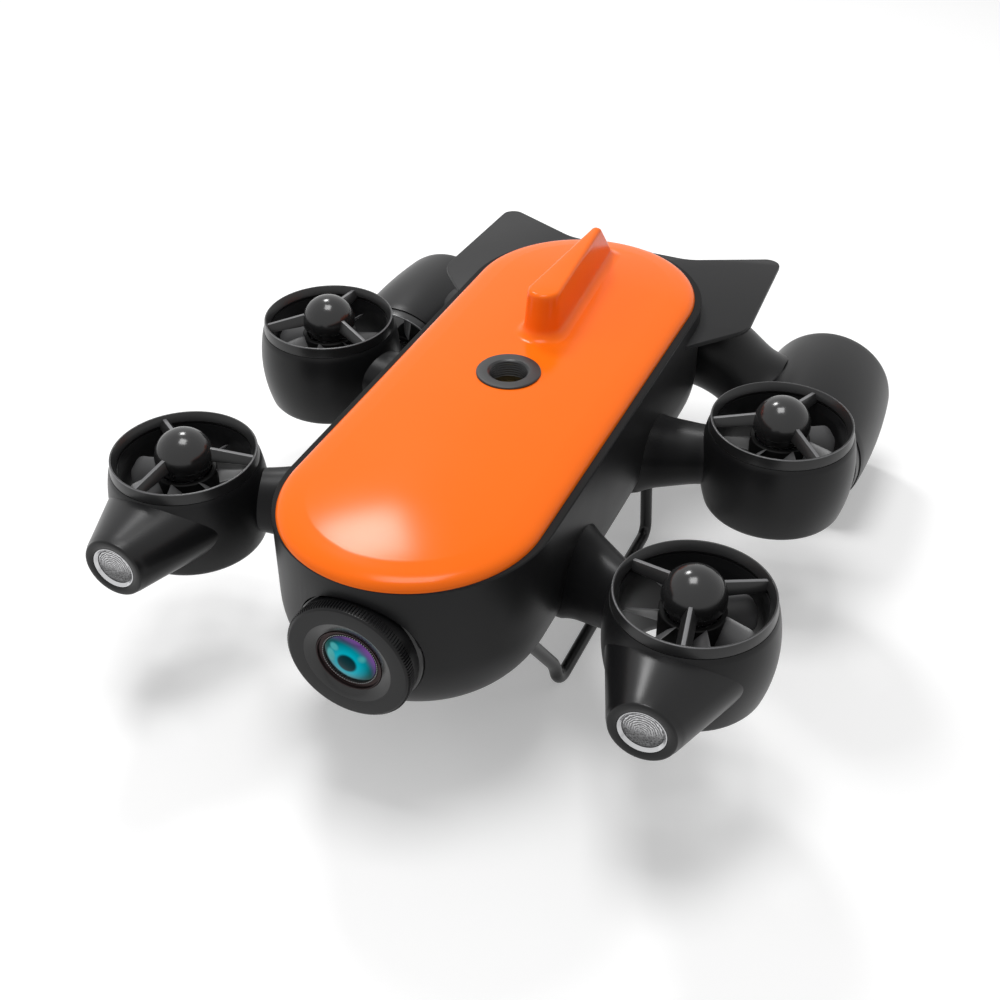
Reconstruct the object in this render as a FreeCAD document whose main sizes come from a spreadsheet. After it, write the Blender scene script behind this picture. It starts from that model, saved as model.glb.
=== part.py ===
import FreeCAD, Part
import math
import os
import re
import Sketcher
from FreeCAD import Placement, Rotation, Vector

# Underwater inspection ROV: a stadium-shaped hull with a crowned cover and a
# dorsal fin, four upright thrusters on arms, two level thrusters at the tail,
# a knurled camera window in the nose, two lamps and two landing skids.
# Frame: millimetres, +Z up, nose towards -Y, origin on the ground under the
# middle of the overall box.

doc = FreeCAD.newDocument("inspection_rov")
sheet = doc.addObject("Spreadsheet::Sheet", "sizes")

# ---------------------------------------------------------------- sizes
SIZES = (
    # overall stations
    ("seam_z", 131.3, "plane where cover and hull meet"),
    ("clearance", 0.1, "gap of a part that drops into its seat"),
    # hull
    ("hull_radius", 67.9, "half width, and radius of both ends"),
    ("hull_nose_y", -119.65, "centre of the nose radius"),
    ("hull_tail_y", 93.65, "centre of the tail radius"),
    ("hull_bottom_z", 38.9, "underside"),
    ("bilge_radius", 47.9, "rounding between side and underside"),
    ("hull_wall", 3.5, "hull wall"),
    ("flange_width", 10.4, "rim on which the cover sits"),
    ("flange_height", 6.0, "its thickness"),
    # cover and fin
    ("cover_radius", 63.8, "half width of the cover"),
    ("cover_nose_y", -123.85, "centre of its nose radius"),
    ("cover_wall", 3.2, "cover wall"),
    ("shoulder_width", 5.6, "inward reach of the rounded shoulder"),
    ("shoulder_height", 5.2, "its height above the seam"),
    ("crown_height", 8.9, "crown above the seam"),
    ("crown_radius", 480.0, "curvature across the crown"),
    ("seal_width", 2.0, "rubber seal between cover and hull"),
    ("seal_height", 1.6, "its height, all of it in the groove"),
    ("seal_inset", 1.0, "its distance from the cover's outer edge"),
    ("fin_top_z", 165.0, "flat top of the fin"),
    ("fin_nose_y", 25.3, "front of its top face"),
    ("fin_tail_y", 113.0, "rear of its top face"),
    ("fin_nose_radius", 8.9, "half width at the front"),
    ("fin_tail_radius", 2.6, "half width at the rear"),
    ("fin_front_rake", 4.0, "how far the front leans"),
    ("fin_rear_rake", 22.0, "how far the trailing edge leans"),
    ("fin_draft", 1.0, "how much wider each side is at the root"),
    # tail wing
    ("wing_top_z", 122.7, "upper face of the wing"),
    ("wing_thickness", 3.0, "plate thickness"),
    ("wing_root_x", 60.0, "where the leading edge enters the hull"),
    ("wing_root_y", 66.1, "its station there"),
    ("wing_shoulder_x", 88.5, "start of the outer front corner"),
    ("wing_shoulder_y", 99.7, "its station"),
    ("wing_half_span", 94.7, "widest place"),
    ("wing_widest_y", 113.0, "its station"),
    ("wing_corner_radius", 19.0, "outer front corner"),
    ("wing_tip_x", 91.2, "outside of the tip"),
    ("wing_tip_y", 194.15, "rear end of the tips"),
    ("wing_tip_radius", 3.0, "tip rounding"),
    ("wing_sweep", 23.8, "angle of the trailing edge"),
    ("wing_bay_x", 52.0, "where the trailing edge starts to flatten"),
    ("wing_bay_radius", 42.0, "rounding there"),
    ("wing_waist_x", 36.0, "half width of its straight middle"),
    ("wing_waist_y", 174.3, "station of its straight middle"),
    # thrusters
    ("thruster_x", 134.5, "upright thrusters from the centre line"),
    ("front_y", -115.35, "front pair"),
    ("rear_y", 33.65, "rear pair"),
    ("ring_top_z", 117.7, "top of the guard rings"),
    ("ring_height", 6.0, "guard ring"),
    ("ring_radius", 37.0, "its outside at the top"),
    ("ring_draft", 0.7, "how much wider it is at its foot"),
    ("ring_lip", 0.9, "width of its upper edge"),
    ("ring_wall", 3.4, "its width where the inner slope ends"),
    ("ring_slope", 4.5, "depth of that slope below the upper edge"),
    ("ring_groove", 1.1, "depth of the groove between slope and duct"),
    ("duct_length", 51.8, "guard ring top to duct mouth"),
    ("duct_radius", 40.7, "widest place of the duct"),
    ("duct_bulge", 80.0, "radius of its barrel shape"),
    ("duct_bore", 32.5, "bore round the propeller"),
    ("duct_flare", 1.1, "flare of the bore at each mouth"),
    ("duct_flare_depth", 4.0, "length of that flare"),
    ("tail_x", 130.9, "level thrusters from the centre line"),
    ("tail_z", 45.6, "their height"),
    ("tail_front_y", 103.45, "front of their guard rings"),
    ("tail_length", 86.8, "their length"),
    ("tail_radius", 40.5, "widest place"),
    ("tail_bulge", 390.0, "radius of the barrel shape"),
    # thruster inner parts
    ("dome_radius", 15.1, "domed hub of the guard"),
    ("dome_rise", 12.2, "top of the dome above the ring"),
    ("dome_undercut", 2.3, "how far the dome curves in below its middle"),
    ("hub_radius", 12.6, "stem of the hub below the dome"),
    ("dome_foot", 9.5, "underside of the stem below the ring top"),
    ("vane_rise", 3.0, "ridge of a vane at the hub"),
    ("vane_drop", 1.7, "ridge of a vane at the ring, below its top"),
    ("vane_depth", 6.2, "height of a vane at the hub"),
    ("vane_tip_depth", 4.0, "height of a vane at the ring"),
    ("vane_ridge", 1.8, "width of its upper edge"),
    ("vane_foot", 7.4, "width of its lower edge"),
    ("stator_radius", 12.2, "motor stator"),
    ("stator_length", 15.5, "its length"),
    ("shaft_radius", 2.0, "motor shaft"),
    ("shaft_reach", 6.5, "shaft beyond the stator"),
    ("running_gap", 0.06, "radial play of the shaft in the rotor"),
    ("rotor_gap", 0.7, "gap between rotor and stator or guard"),
    ("rotor_wall", 2.6, "rotor shell"),
    ("rotor_length", 21.0, "cylindrical part of the rotor"),
    ("rotor_cone", 9.0, "tail cone below it"),
    ("blade_count", 7, "blades of a propeller"),
    ("tip_gap", 1.1, "play of the blade tips in the bore"),
    ("blade_chord", 18.0, "chord at the root"),
    ("blade_tip_chord", 16.5, "chord at the tip"),
    ("blade_thickness", 1.8, "thickness at the root"),
    ("blade_tip_thickness", 1.0, "thickness at the tip"),
    ("blade_pitch", 58.0, "angle at the root"),
    ("blade_tip_pitch", 44.0, "angle at the tip"),
    ("blade_middle", 7.4, "blade axis below the rotor's upper edge"),
    # arms
    ("arm_root_x", 66.0, "where an arm leaves the hull"),
    ("arm_tip_x", 98.0, "where it meets its duct"),
    ("arm_reach", 10.0, "how far both ends run on into their seats"),
    ("arm_root_z", 80.2, "height at the hull"),
    ("arm_tip_z", 89.9, "height at the duct"),
    ("front_arm_root_y", -79.65, "front arm at the hull"),
    ("front_arm_tip_y", -102.85, "front arm at the duct"),
    ("front_arm_root_radius", 23.8, "its radius at the hull"),
    ("front_arm_tip_radius", 16.4, "its radius at the duct"),
    ("rear_arm_root_y", 30.15, "rear arm at the hull"),
    ("rear_arm_tip_y", 26.05, "rear arm at the duct"),
    ("rear_arm_root_radius", 21.1, "its radius at the hull"),
    ("rear_arm_tip_radius", 15.8, "its radius at the duct"),
    ("tail_arm_radius", 24.0, "tail arm at the hull"),
    ("tail_arm_flare", 32.0, "tail arm at the level duct"),
    # lamps
    ("lamp_face_y", -182.25, "front face of a lamp"),
    ("lamp_x", 134.4, "lamp axis from the centre line"),
    ("lamp_z", 91.7, "lamp axis height"),
    ("lamp_radius", 16.1, "front of the housing"),
    ("lamp_length", 52.0, "face to the back of the cone"),
    ("lamp_spread", 0.384, "sideways growth of the cone per length"),
    ("lamp_lift", 0.108, "upward growth of the cone per length"),
    ("lamp_bore", 12.6, "bore for the reflector"),
    ("lamp_bore_depth", 14.0, "its depth"),
    ("reflector_wall", 1.3, "reflector rim"),
    ("lamp_lens_thickness", 2.2, "lamp lens"),
    ("lamp_dome", 60.0, "curvature of its outer face"),
    ("lamp_recess", 1.2, "how far the reflector sits behind the face"),
    # camera window
    ("window_z", 91.0, "axis of the camera window"),
    ("window_reach", 6.6, "how far its face stands before the hull's nose"),
    ("ring_outer", 31.15, "knurled ring"),
    ("ring_depth", 13.0, "its length"),
    ("ring_bore", 17.0, "its bore"),
    ("ring_dish", 21.5, "outside of the dished part of its face"),
    ("dish_depth", 1.4, "depth of the dish"),
    ("collar_radius", 33.0, "collar behind the ring"),
    ("collar_length", 30.0, "its length"),
    ("spigot_radius", 26.0, "spigot that carries the ring"),
    ("spigot_length", 4.0, "its length"),
    ("bezel_lip", 13.5, "opening of the inner bezel"),
    ("bezel_length", 7.0, "its length"),
    ("glass_radius", 14.6, "window glass"),
    ("glass_thickness", 3.2, "its thickness at the edge"),
    ("glass_dome", 45.0, "curvature of its outer face"),
    ("camera_length", 36.0, "camera barrel behind the glass"),
    ("camera_block", 30.0, "side of the camera block"),
    ("camera_block_length", 22.0, "its length"),
    # tether port
    ("port_y", -13.85, "tether port on the cover"),
    ("port_radius", 16.8, "its flange"),
    ("port_flange", 1.0, "flange thickness above the crown"),
    ("port_tube", 13.0, "outside of its tube"),
    ("port_bore", 9.66, "threaded hole for the tether plug"),
    ("port_depth", 16.0, "flange top to the lower end of the tube"),
    ("port_thread", 8.4, "length of the threaded hole"),
    ("socket_radius", 11.2, "seat of the contact block below the thread"),
    ("socket_height", 3.4, "contact block in the port"),
    ("contact_radius", 0.9, "contact pin"),
    ("contact_circle", 4.6, "circle of the contact pins"),
    ("contact_height", 2.6, "their height"),
    ("contact_count", 6, "number of contact pins"),
    # skids
    ("skid_x", 58.9, "rail from the centre line"),
    ("skid_radius", 3.4, "tube radius"),
    ("skid_lean", 3.0, "inward lean of the skid"),
    ("skid_front_y", -83.2, "front bend of the rail"),
    ("skid_rear_y", 56.1, "rear bend of the rail"),
    ("skid_front_leg", 40.5, "forward reach of the front leg"),
    ("skid_leg_height", 64.0, "height of the legs above the rail"),
    ("skid_knee_reach", 4.5, "forward reach of the knee in the front leg"),
    ("skid_knee_height", 16.0, "height of the knee above the rail"),
    ("skid_knee_bend", 30.0, "bend radius of the knee"),
    ("skid_front_bend", 12.0, "bend radius between front leg and rail"),
    ("skid_rear_bend", 7.0, "bend radius between rail and rear leg"),
    # inner parts
    ("battery_width", 38.0, "battery pack"),
    ("battery_length", 130.0, "its length"),
    ("battery_height", 44.0, "its height"),
    ("battery_y", 10.0, "its middle"),
    ("board_width", 84.0, "control board"),
    ("board_length", 120.0, "its length"),
    ("board_thickness", 1.6, "its thickness"),
    ("post_height", 8.0, "posts between battery pack and board"),
    ("post_radius", 3.0, "post radius"),
    ("chip_side", 24.0, "processor cover"),
    ("chip_height", 4.0, "its height"),
)
for row, (alias, value, note) in enumerate(SIZES, 1):
    sheet.set(f"A{row}", note)
    sheet.set(f"B{row}", str(value))
    sheet.setAlias(f"B{row}", alias)
doc.recompute()
ALIASES = {alias for alias, value, note in SIZES}


def link(text):
    """An expression on the sheet, from plain aliases."""
    return re.sub(r"[A-Za-z_]\w*",
                  lambda word: "sizes." + word[0] if word[0] in ALIASES else word[0], text)


def size(text):
    value = sheet.evalExpression(link(text))
    return float(getattr(value, "Value", value))


# ---------------------------------------------------------------- sketch helpers
def new_body(label):
    body = doc.addObject("PartDesign::Body", label)
    body.Label = label
    return body


def place(thing, x="0", y="0", z="0", rotation=Rotation()):
    """Put a body or primitive at a place bound to the sheet."""
    thing.Placement = Placement(Vector(size(x), size(y), size(z)), rotation)
    for axis, text in (("x", x), ("y", y), ("z", z)):
        if text != "0":
            thing.setExpression("Placement.Base." + axis, link(text))


def sketch_on(body, name, role, away="0"):
    """A sketch on one of the body's own planes, moved along its normal."""
    plane = next(f for f in body.Origin.OriginFeatures if f.Role == role)
    sketch = body.newObject("Sketcher::SketchObject", name)
    sketch.AttachmentSupport = [(plane, "")]
    sketch.MapMode = "FlatFace"
    if away != "0":
        sketch.AttachmentOffset = Placement(Vector(0, 0, size(away)), Rotation())
        sketch.setExpression("AttachmentOffset.Base.z", link(away))
    return sketch


def pin_down(sketch, kind, geometry, end, text):
    """Bind one coordinate of a point to the sheet."""
    value = size(text)
    index = sketch.addConstraint(Sketcher.Constraint(kind, -1, 1, geometry, end, value))
    if re.search("[A-Za-z]", text):
        sketch.setExpression(f"Constraints[{index}]", link(text))


def outline(sketch, *points):
    """A closed outline. A point is (x, y) after a straight run, (x, y, radius)
    after an arc that turns left (radius > 0) or right, or (x, y, cx, cy)
    after an arc that turns left about a centre level with its ends."""
    spots = [Vector(size(p[0]), size(p[1]), 0) for p in points]
    ends = []
    for i, point in enumerate(points):
        start, finish = spots[i - 1], spots[i]
        if len(point) == 2:
            edge = sketch.addGeometry(Part.LineSegment(start, finish), False)
            ends.append((edge, 1, 2))
            continue
        chord = finish - start
        if len(point) == 4:
            centre = Vector(size(point[2]), size(point[3]), 0)
            radius = (finish - centre).Length
        else:
            radius = size(point[2])
            height = max(radius ** 2 - chord.Length ** 2 / 4, 0) ** 0.5
            side = Vector(-chord.y, chord.x, 0).normalize()
            centre = (start + finish) / 2 + side * (height if radius > 0 else -height)
        circle = Part.Circle(centre, Vector(0, 0, 1), abs(radius))
        first, last = (start, finish) if radius > 0 else (finish, start)
        arc = Part.ArcOfCircle(circle, circle.parameter(first), circle.parameter(last))
        edge = sketch.addGeometry(arc, False)
        ends.append((edge, 1, 2) if radius > 0 else (edge, 2, 1))
        if len(point) == 4:
            across = abs(chord.x) > abs(chord.y)
            pin_down(sketch, "DistanceY" if across else "DistanceX", edge, 3,
                     point[3] if across else point[2])
        else:
            index = sketch.addConstraint(Sketcher.Constraint("Radius", edge, abs(radius)))
            if re.search("[A-Za-z]", point[2]):
                sketch.setExpression(f"Constraints[{index}]", link(f"abs({point[2]})"))
    for i, point in enumerate(points):
        edge, _, finish = ends[i]
        following, start, _ = ends[(i + 1) % len(points)]
        sketch.addConstraint(Sketcher.Constraint("Coincident", edge, finish, following, start))
        pin_down(sketch, "DistanceX", edge, finish, point[0])
        pin_down(sketch, "DistanceY", edge, finish, point[1])


def ring(sketch, radius, x="0", y="0"):
    """A circle bound to the sheet."""
    centre = Vector(size(x), size(y), 0)
    edge = sketch.addGeometry(Part.Circle(centre, Vector(0, 0, 1), size(radius)), False)
    pin_down(sketch, "DistanceX", edge, 3, x)
    pin_down(sketch, "DistanceY", edge, 3, y)
    index = sketch.addConstraint(Sketcher.Constraint("Radius", edge, size(radius)))
    sketch.setExpression(f"Constraints[{index}]", link(radius))


def stadium(sketch, radius, nose, tail):
    """Two straight sides and two half rounds, in plan."""
    edges = [
        sketch.addGeometry(Part.LineSegment(Vector(size(radius), size(nose), 0),
                                            Vector(size(radius), size(tail), 0)), False),
        sketch.addGeometry(Part.ArcOfCircle(
            Part.Circle(Vector(0, size(tail), 0), Vector(0, 0, 1), size(radius)),
            0, math.pi), False),
        sketch.addGeometry(Part.LineSegment(Vector(-size(radius), size(tail), 0),
                                            Vector(-size(radius), size(nose), 0)), False),
        sketch.addGeometry(Part.ArcOfCircle(
            Part.Circle(Vector(0, size(nose), 0), Vector(0, 0, 1), size(radius)),
            math.pi, 2 * math.pi), False),
    ]
    for i, edge in enumerate(edges):
        sketch.addConstraint(Sketcher.Constraint("Tangent", edge, 2, edges[(i + 1) % 4], 1))
    for arc, centre in ((edges[1], tail), (edges[3], nose)):
        pin_down(sketch, "DistanceX", arc, 3, "0")
        pin_down(sketch, "DistanceY", arc, 3, centre)
    index = sketch.addConstraint(Sketcher.Constraint("Radius", edges[1], size(radius)))
    sketch.setExpression(f"Constraints[{index}]", link(radius))


# ---------------------------------------------------------------- feature helpers
def extrude(body, sketch, length, kind="Pad", reverse=False):
    feature = body.newObject("PartDesign::" + kind, f"{sketch.Name}_{kind.lower()}")
    feature.Profile = sketch
    feature.setExpression("Length", link(length))
    feature.Reversed = reverse
    return feature


def revolve(body, sketch, kind="Revolution"):
    feature = body.newObject("PartDesign::" + kind, f"{sketch.Name}_{kind.lower()}")
    feature.Profile = sketch
    feature.ReferenceAxis = (sketch, ["V_Axis"])
    feature.Angle = 360
    return feature


def loft(body, sections, ruled=False):
    feature = body.newObject("PartDesign::AdditiveLoft", sections[0].Name + "_loft")
    feature.Profile = sections[0]
    feature.Sections = sections[1:]
    feature.Ruled = ruled
    return feature


def polar(body, feature, count):
    pattern = body.newObject("PartDesign::PolarPattern", feature.Name + "_polar")
    pattern.Originals = [feature]
    pattern.Axis = (next(f for f in body.Origin.OriginFeatures if f.Role == "Z_Axis"), [""])
    pattern.Angle = 360
    pattern.setExpression("Occurrences", link(count))
    body.Tip = pattern
    return pattern


def cut(label, base, *tools):
    """The base with every tool taken away from it."""
    for index, tool in enumerate(tools):
        result = doc.addObject("Part::Cut", label if index == len(tools) - 1 else label + "_part")
        result.Base = base
        result.Tool = tool
        base = result
    base.Label = label
    return base


def mirrored(label, source):
    """The left-hand twin of a right-hand part."""
    twin = doc.addObject("Part::Mirroring", label)
    twin.Source = source
    twin.Base = Vector(0, 0, 0)
    twin.Normal = Vector(1, 0, 0)
    twin.Label = label
    return twin


def cylinder(name, radius, length, x="0", y="0", z="0", rotation=Rotation()):
    tool = doc.addObject("Part::Cylinder", name)
    tool.setExpression("Radius", link(radius))
    tool.setExpression("Height", link(length))
    place(tool, x, y, z, rotation)
    return tool


FORWARD = Rotation(Vector(1, 0, 0), 90)     # a part's own +Z turned to the nose
nodes = {}


def keep(label, thing):
    nodes[label] = thing
    return thing


# ---------------------------------------------------------------- hull and cover
def hull_form(label, inset, top):
    """The hull's outside, or its inside when inset by the wall."""
    body = new_body(label)
    plan = sketch_on(body, label + "_plan", "XY_Plane", f"hull_bottom_z + {inset}")
    stadium(plan, f"hull_radius - {inset}", "hull_nose_y", "hull_tail_y")
    pad = extrude(body, plan, f"{top} - hull_bottom_z - {inset}")
    doc.recompute()
    floor = size(f"hull_bottom_z + {inset}")
    low = [f"Edge{i}" for i, edge in enumerate(pad.Shape.Edges, 1)
           if edge.BoundBox.ZMax < floor + 1e-4]
    bilge = body.newObject("PartDesign::Fillet", label + "_bilge")
    bilge.Base = (pad, low)
    bilge.setExpression("Radius", link(f"bilge_radius - {inset}"))
    return body


def hull_shell():
    cavity = hull_form("hull_cavity", "hull_wall", "seam_z - flange_height")
    mouth = new_body("hull_mouth")
    plan = sketch_on(mouth, "mouth_plan", "XY_Plane", "seam_z - 2 * flange_height")
    stadium(plan, "hull_radius - flange_width", "hull_nose_y", "hull_tail_y")
    extrude(mouth, plan, "3 * flange_height")
    window = cylinder("window_bore", "collar_radius + clearance", "hull_radius",
                      "0", "hull_nose_y", "window_z", FORWARD)
    return cut("hull_shell", hull_outside, cavity, mouth, seal_form("seal_groove", "clearance"), window)


def seal_form(label, gap):
    """The ring of the cover seal, or its groove when a gap is added."""
    body = new_body(label)
    plan = sketch_on(body, label + "_plan", "XY_Plane", "seam_z")
    stadium(plan, f"cover_radius - seal_inset + {gap}", "cover_nose_y", "hull_tail_y")
    stadium(plan, f"cover_radius - seal_inset - seal_width - {gap}", "cover_nose_y", "hull_tail_y")
    extrude(body, plan, f"seal_height + {gap}", reverse=True)
    return body


def crown_form(label, inset):
    """The crowned solid of the cover, or its hollow when inset by the wall."""
    edge = f"(cover_radius - {inset})"
    shoulder = f"({edge} - shoulder_width)"
    top = f"(seam_z + crown_height - {inset})"
    shoulder_z = f"({top} - crown_radius + sqrt(crown_radius ^ 2 - {shoulder} ^ 2))"
    body = new_body(label)
    across = sketch_on(body, label + "_across", "XZ_Plane", "-cover_nose_y")
    outline(across, (edge, "seam_z"), (shoulder, shoulder_z, "shoulder_height + 2"),
            ("-" + shoulder, shoulder_z, "crown_radius"), ("-" + edge, "seam_z", "shoulder_height + 2"))
    extrude(body, across, "hull_tail_y - cover_nose_y", reverse=True)
    for end, station in (("nose", "cover_nose_y"), ("tail", "hull_tail_y")):
        half = sketch_on(body, f"{label}_{end}", "XZ_Plane", "-" + station)
        outline(half, ("0", "seam_z"), (edge, "seam_z"),
                (shoulder, shoulder_z, "shoulder_height + 2"), ("0", top, "crown_radius"))
        revolve(body, half)
    return body


def top_cover():
    body = crown_form("cover_outside", "0")
    root = sketch_on(body, "fin_root", "XY_Plane", "seam_z + crown_height - cover_wall")
    tapered = (("(fin_nose_radius + fin_draft)", "(fin_tail_radius + fin_draft)",
                "(fin_nose_y - fin_front_rake)", "(fin_tail_y + fin_rear_rake)"),
               ("fin_nose_radius", "fin_tail_radius", "fin_nose_y", "fin_tail_y"))
    top = sketch_on(body, "fin_top", "XY_Plane", "fin_top_z")
    for plan, (wide, narrow, front, back) in zip((root, top), tapered):
        fin_outline(plan, wide, narrow, front, back)
    loft(body, [root, top], ruled=True)
    hole = cylinder("port_hole", "port_tube + clearance", "port_depth + crown_height",
                    "0", "port_y", "seam_z - crown_height")
    return cut("top_cover", body, crown_form("cover_hollow", "cover_wall"), hole)


def fin_outline(sketch, wide, narrow, front, back):
    """Two half rounds of different size joined by straight sides."""
    outline(sketch, (wide, f"{front} + {wide}", "0", f"{front} + {wide}"),
            (narrow, f"{back} - {narrow}"),
            ("-" + narrow, f"{back} - {narrow}", "0", f"{back} - {narrow}"),
            ("-" + wide, f"{front} + {wide}"))


hull_outside = hull_form("hull_outside", "0", "seam_z")
keep("hull_shell", hull_shell())
keep("top_cover", top_cover())
keep("cover_seal", seal_form("cover_seal", "0"))


# ---------------------------------------------------------------- tail wing
def tail_wing():
    body = new_body("wing_plate")
    plan = sketch_on(body, "wing_plan", "XY_Plane", "wing_top_z - wing_thickness")
    right = [("wing_shoulder_x", "wing_shoulder_y"),
             ("wing_half_span", "wing_widest_y", "wing_corner_radius"),
             ("wing_tip_x", "wing_tip_y - wing_tip_radius"),
             ("wing_tip_x - wing_tip_radius - wing_tip_radius * sin(wing_sweep)",
              "wing_tip_y - wing_tip_radius + wing_tip_radius * cos(wing_sweep)", "wing_tip_radius"),
             ("wing_bay_x", "wing_waist_y + (wing_bay_x - wing_waist_x) * 0.24"),
             ("wing_waist_x", "wing_waist_y", "-wing_bay_radius")]
    left = [("-wing_waist_x", "wing_waist_y"),
            ("-wing_bay_x", right[4][1], "-wing_bay_radius"),
            ("-(" + right[3][0] + ")", right[3][1]),
            ("-wing_tip_x", right[2][1], "wing_tip_radius"),
            ("-wing_half_span", "wing_widest_y"),
            ("-wing_shoulder_x", "wing_shoulder_y", "wing_corner_radius"),
            ("-wing_root_x", "wing_root_y"), ("wing_root_x", "wing_root_y")]
    outline(plan, *right, *left)
    extrude(body, plan, "wing_thickness")
    return cut("tail_wing", body, hull_outside)


keep("tail_wing", tail_wing())


# ---------------------------------------------------------------- thrusters
# A thruster is drawn upright with its own origin at the top of the guard ring.
UPRIGHT = {"crest": "duct_radius", "bulge": "duct_bulge", "length": "duct_length"}
LEVEL = {"crest": "tail_radius", "bulge": "tail_bulge", "length": "tail_length"}


def barrel(form, depth):
    """Outside radius of a duct at a depth below the ring's top."""
    bulge = form["bulge"]
    return (f"({form['crest']} - {bulge} + "
            f"sqrt({bulge} ^ 2 - ({depth} - {form['length']} / 2) ^ 2))")


def duct_envelope(label, form):
    """The duct without its bore, which the arms and lamps are cut against."""
    body = new_body(label)
    half = sketch_on(body, label + "_half", "XZ_Plane")
    length = form["length"]
    outline(half, ("0", "0"), ("0", "-" + length), (barrel(form, length), "-" + length),
            (barrel(form, "ring_height"), "-ring_height", form["bulge"]),
            ("ring_radius + ring_draft", "-ring_height"), ("ring_radius", "0"))
    revolve(body, half)
    return body


def duct(label, form):
    body = new_body(label)
    half = sketch_on(body, label + "_half", "XZ_Plane")
    length = form["length"]
    outline(half, (barrel(form, length) + " - 1", "-" + length),
            (barrel(form, length), f"-{length} + 1", "1"),
            (barrel(form, "ring_height"), "-ring_height", form["bulge"]),
            ("duct_bore + duct_flare", "-ring_height"),
            ("duct_bore", "-ring_height - duct_flare_depth"),
            ("duct_bore", f"-{length} + duct_flare_depth"),
            ("duct_bore + duct_flare", "-" + length))
    revolve(body, half)
    return body


def guard(label):
    """Ring, three vanes and the domed hub, one moulding."""
    body = new_body(label)
    half = sketch_on(body, label + "_ring", "XZ_Plane")
    outline(half, ("ring_radius - ring_wall + ring_groove", "-ring_height"),
            ("ring_radius + ring_draft", "-ring_height"),
            ("ring_radius", "-ring_lip / 2"), ("ring_radius - ring_lip / 2", "0", "ring_lip / 2"),
            ("ring_radius - ring_lip", "-ring_lip / 2", "ring_lip / 2"),
            ("ring_radius - ring_wall", "-ring_slope"),
            ("ring_radius - ring_wall + ring_groove", "-ring_slope"))
    revolve(body, half)
    hub = sketch_on(body, label + "_hub", "XZ_Plane")
    undercut = "dome_rise - dome_radius - dome_undercut"
    outline(hub, ("0", "-dome_foot"), ("hub_radius", "-dome_foot"), ("hub_radius", undercut),
            ("sqrt(dome_radius ^ 2 - dome_undercut ^ 2)", undercut),
            ("0", "dome_rise", "dome_radius"))
    revolve(body, hub)
    sections = []
    for name, station, top, depth in (
            ("hub", "hub_radius - 1", "vane_rise", "vane_depth"),
            ("ring", "ring_radius - ring_lip", "-vane_drop", "vane_tip_depth")):
        section = sketch_on(body, f"{label}_vane_{name}", "YZ_Plane", station)
        outline(section, ("-vane_foot / 2", f"{top} - {depth}"), ("vane_foot / 2", f"{top} - {depth}"),
                ("vane_ridge / 2", top), ("-vane_ridge / 2", top))
        sections.append(section)
    polar(body, loft(body, sections, ruled=True), "3")
    return body


def motor(label):
    body = new_body(label)
    half = sketch_on(body, label + "_half", "XZ_Plane")
    outline(half, ("0", "-dome_foot"), ("0", "-dome_foot - stator_length - shaft_reach"),
            ("shaft_radius", "-dome_foot - stator_length - shaft_reach"),
            ("shaft_radius", "-dome_foot - stator_length"),
            ("stator_radius", "-dome_foot - stator_length"), ("stator_radius", "-dome_foot"))
    revolve(body, half)
    return body


def propeller(label):
    """Rotor shell with its tail cone and the blades round it."""
    body = new_body(label)
    inside = "(stator_radius + rotor_gap)"
    outside = "(stator_radius + rotor_gap + rotor_wall)"
    top = "(dome_foot + rotor_gap)"
    floor = "(dome_foot + stator_length + rotor_gap)"
    base = f"({top} + rotor_length)"
    half = sketch_on(body, label + "_half", "XZ_Plane")
    outline(half, (inside, f"-{top}"), (inside, f"-{floor}"),
            ("shaft_radius + running_gap", f"-{floor}"),
            ("shaft_radius + running_gap", "-(dome_foot + stator_length + shaft_reach + rotor_gap)"),
            ("0", "-(dome_foot + stator_length + shaft_reach + rotor_gap)"),
            ("0", f"-{base} - rotor_cone"),
            (f"{outside} * 0.45", f"-{base} - rotor_cone * 0.78", f"{outside} * 1.1"),
            (outside, f"-{base}", f"{outside} * 1.3"), (outside, f"-{top}"))
    revolve(body, half)
    sections = []
    for name, station, chord, thick, pitch in (
            ("root", f"{outside} - 1", "blade_chord", "blade_thickness", "blade_pitch"),
            ("tip", "duct_bore - tip_gap - 1", "blade_tip_chord", "blade_tip_thickness",
             "blade_tip_pitch")):
        section = sketch_on(body, f"{label}_{name}", "YZ_Plane", station)
        middle = f"-({top} + blade_middle)"
        run = f"{chord} / 2 * cos({pitch})"
        rise = f"{chord} / 2 * sin({pitch})"
        back = f"{thick} / 2 * sin({pitch})"
        lift = f"{thick} / 2 * cos({pitch})"
        outline(section, (f"-({run}) + {back}", f"{middle} - {rise} - {lift}"),
                (f"{run} + {back}", f"{middle} + {rise} - {lift}"),
                (f"{run} - {back}", f"{middle} + {rise} + {lift}"),
                (f"-({run}) - {back}", f"{middle} - {rise} + {lift}"))
        sections.append(section)
    polar(body, loft(body, sections), "blade_count")
    return body


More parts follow.
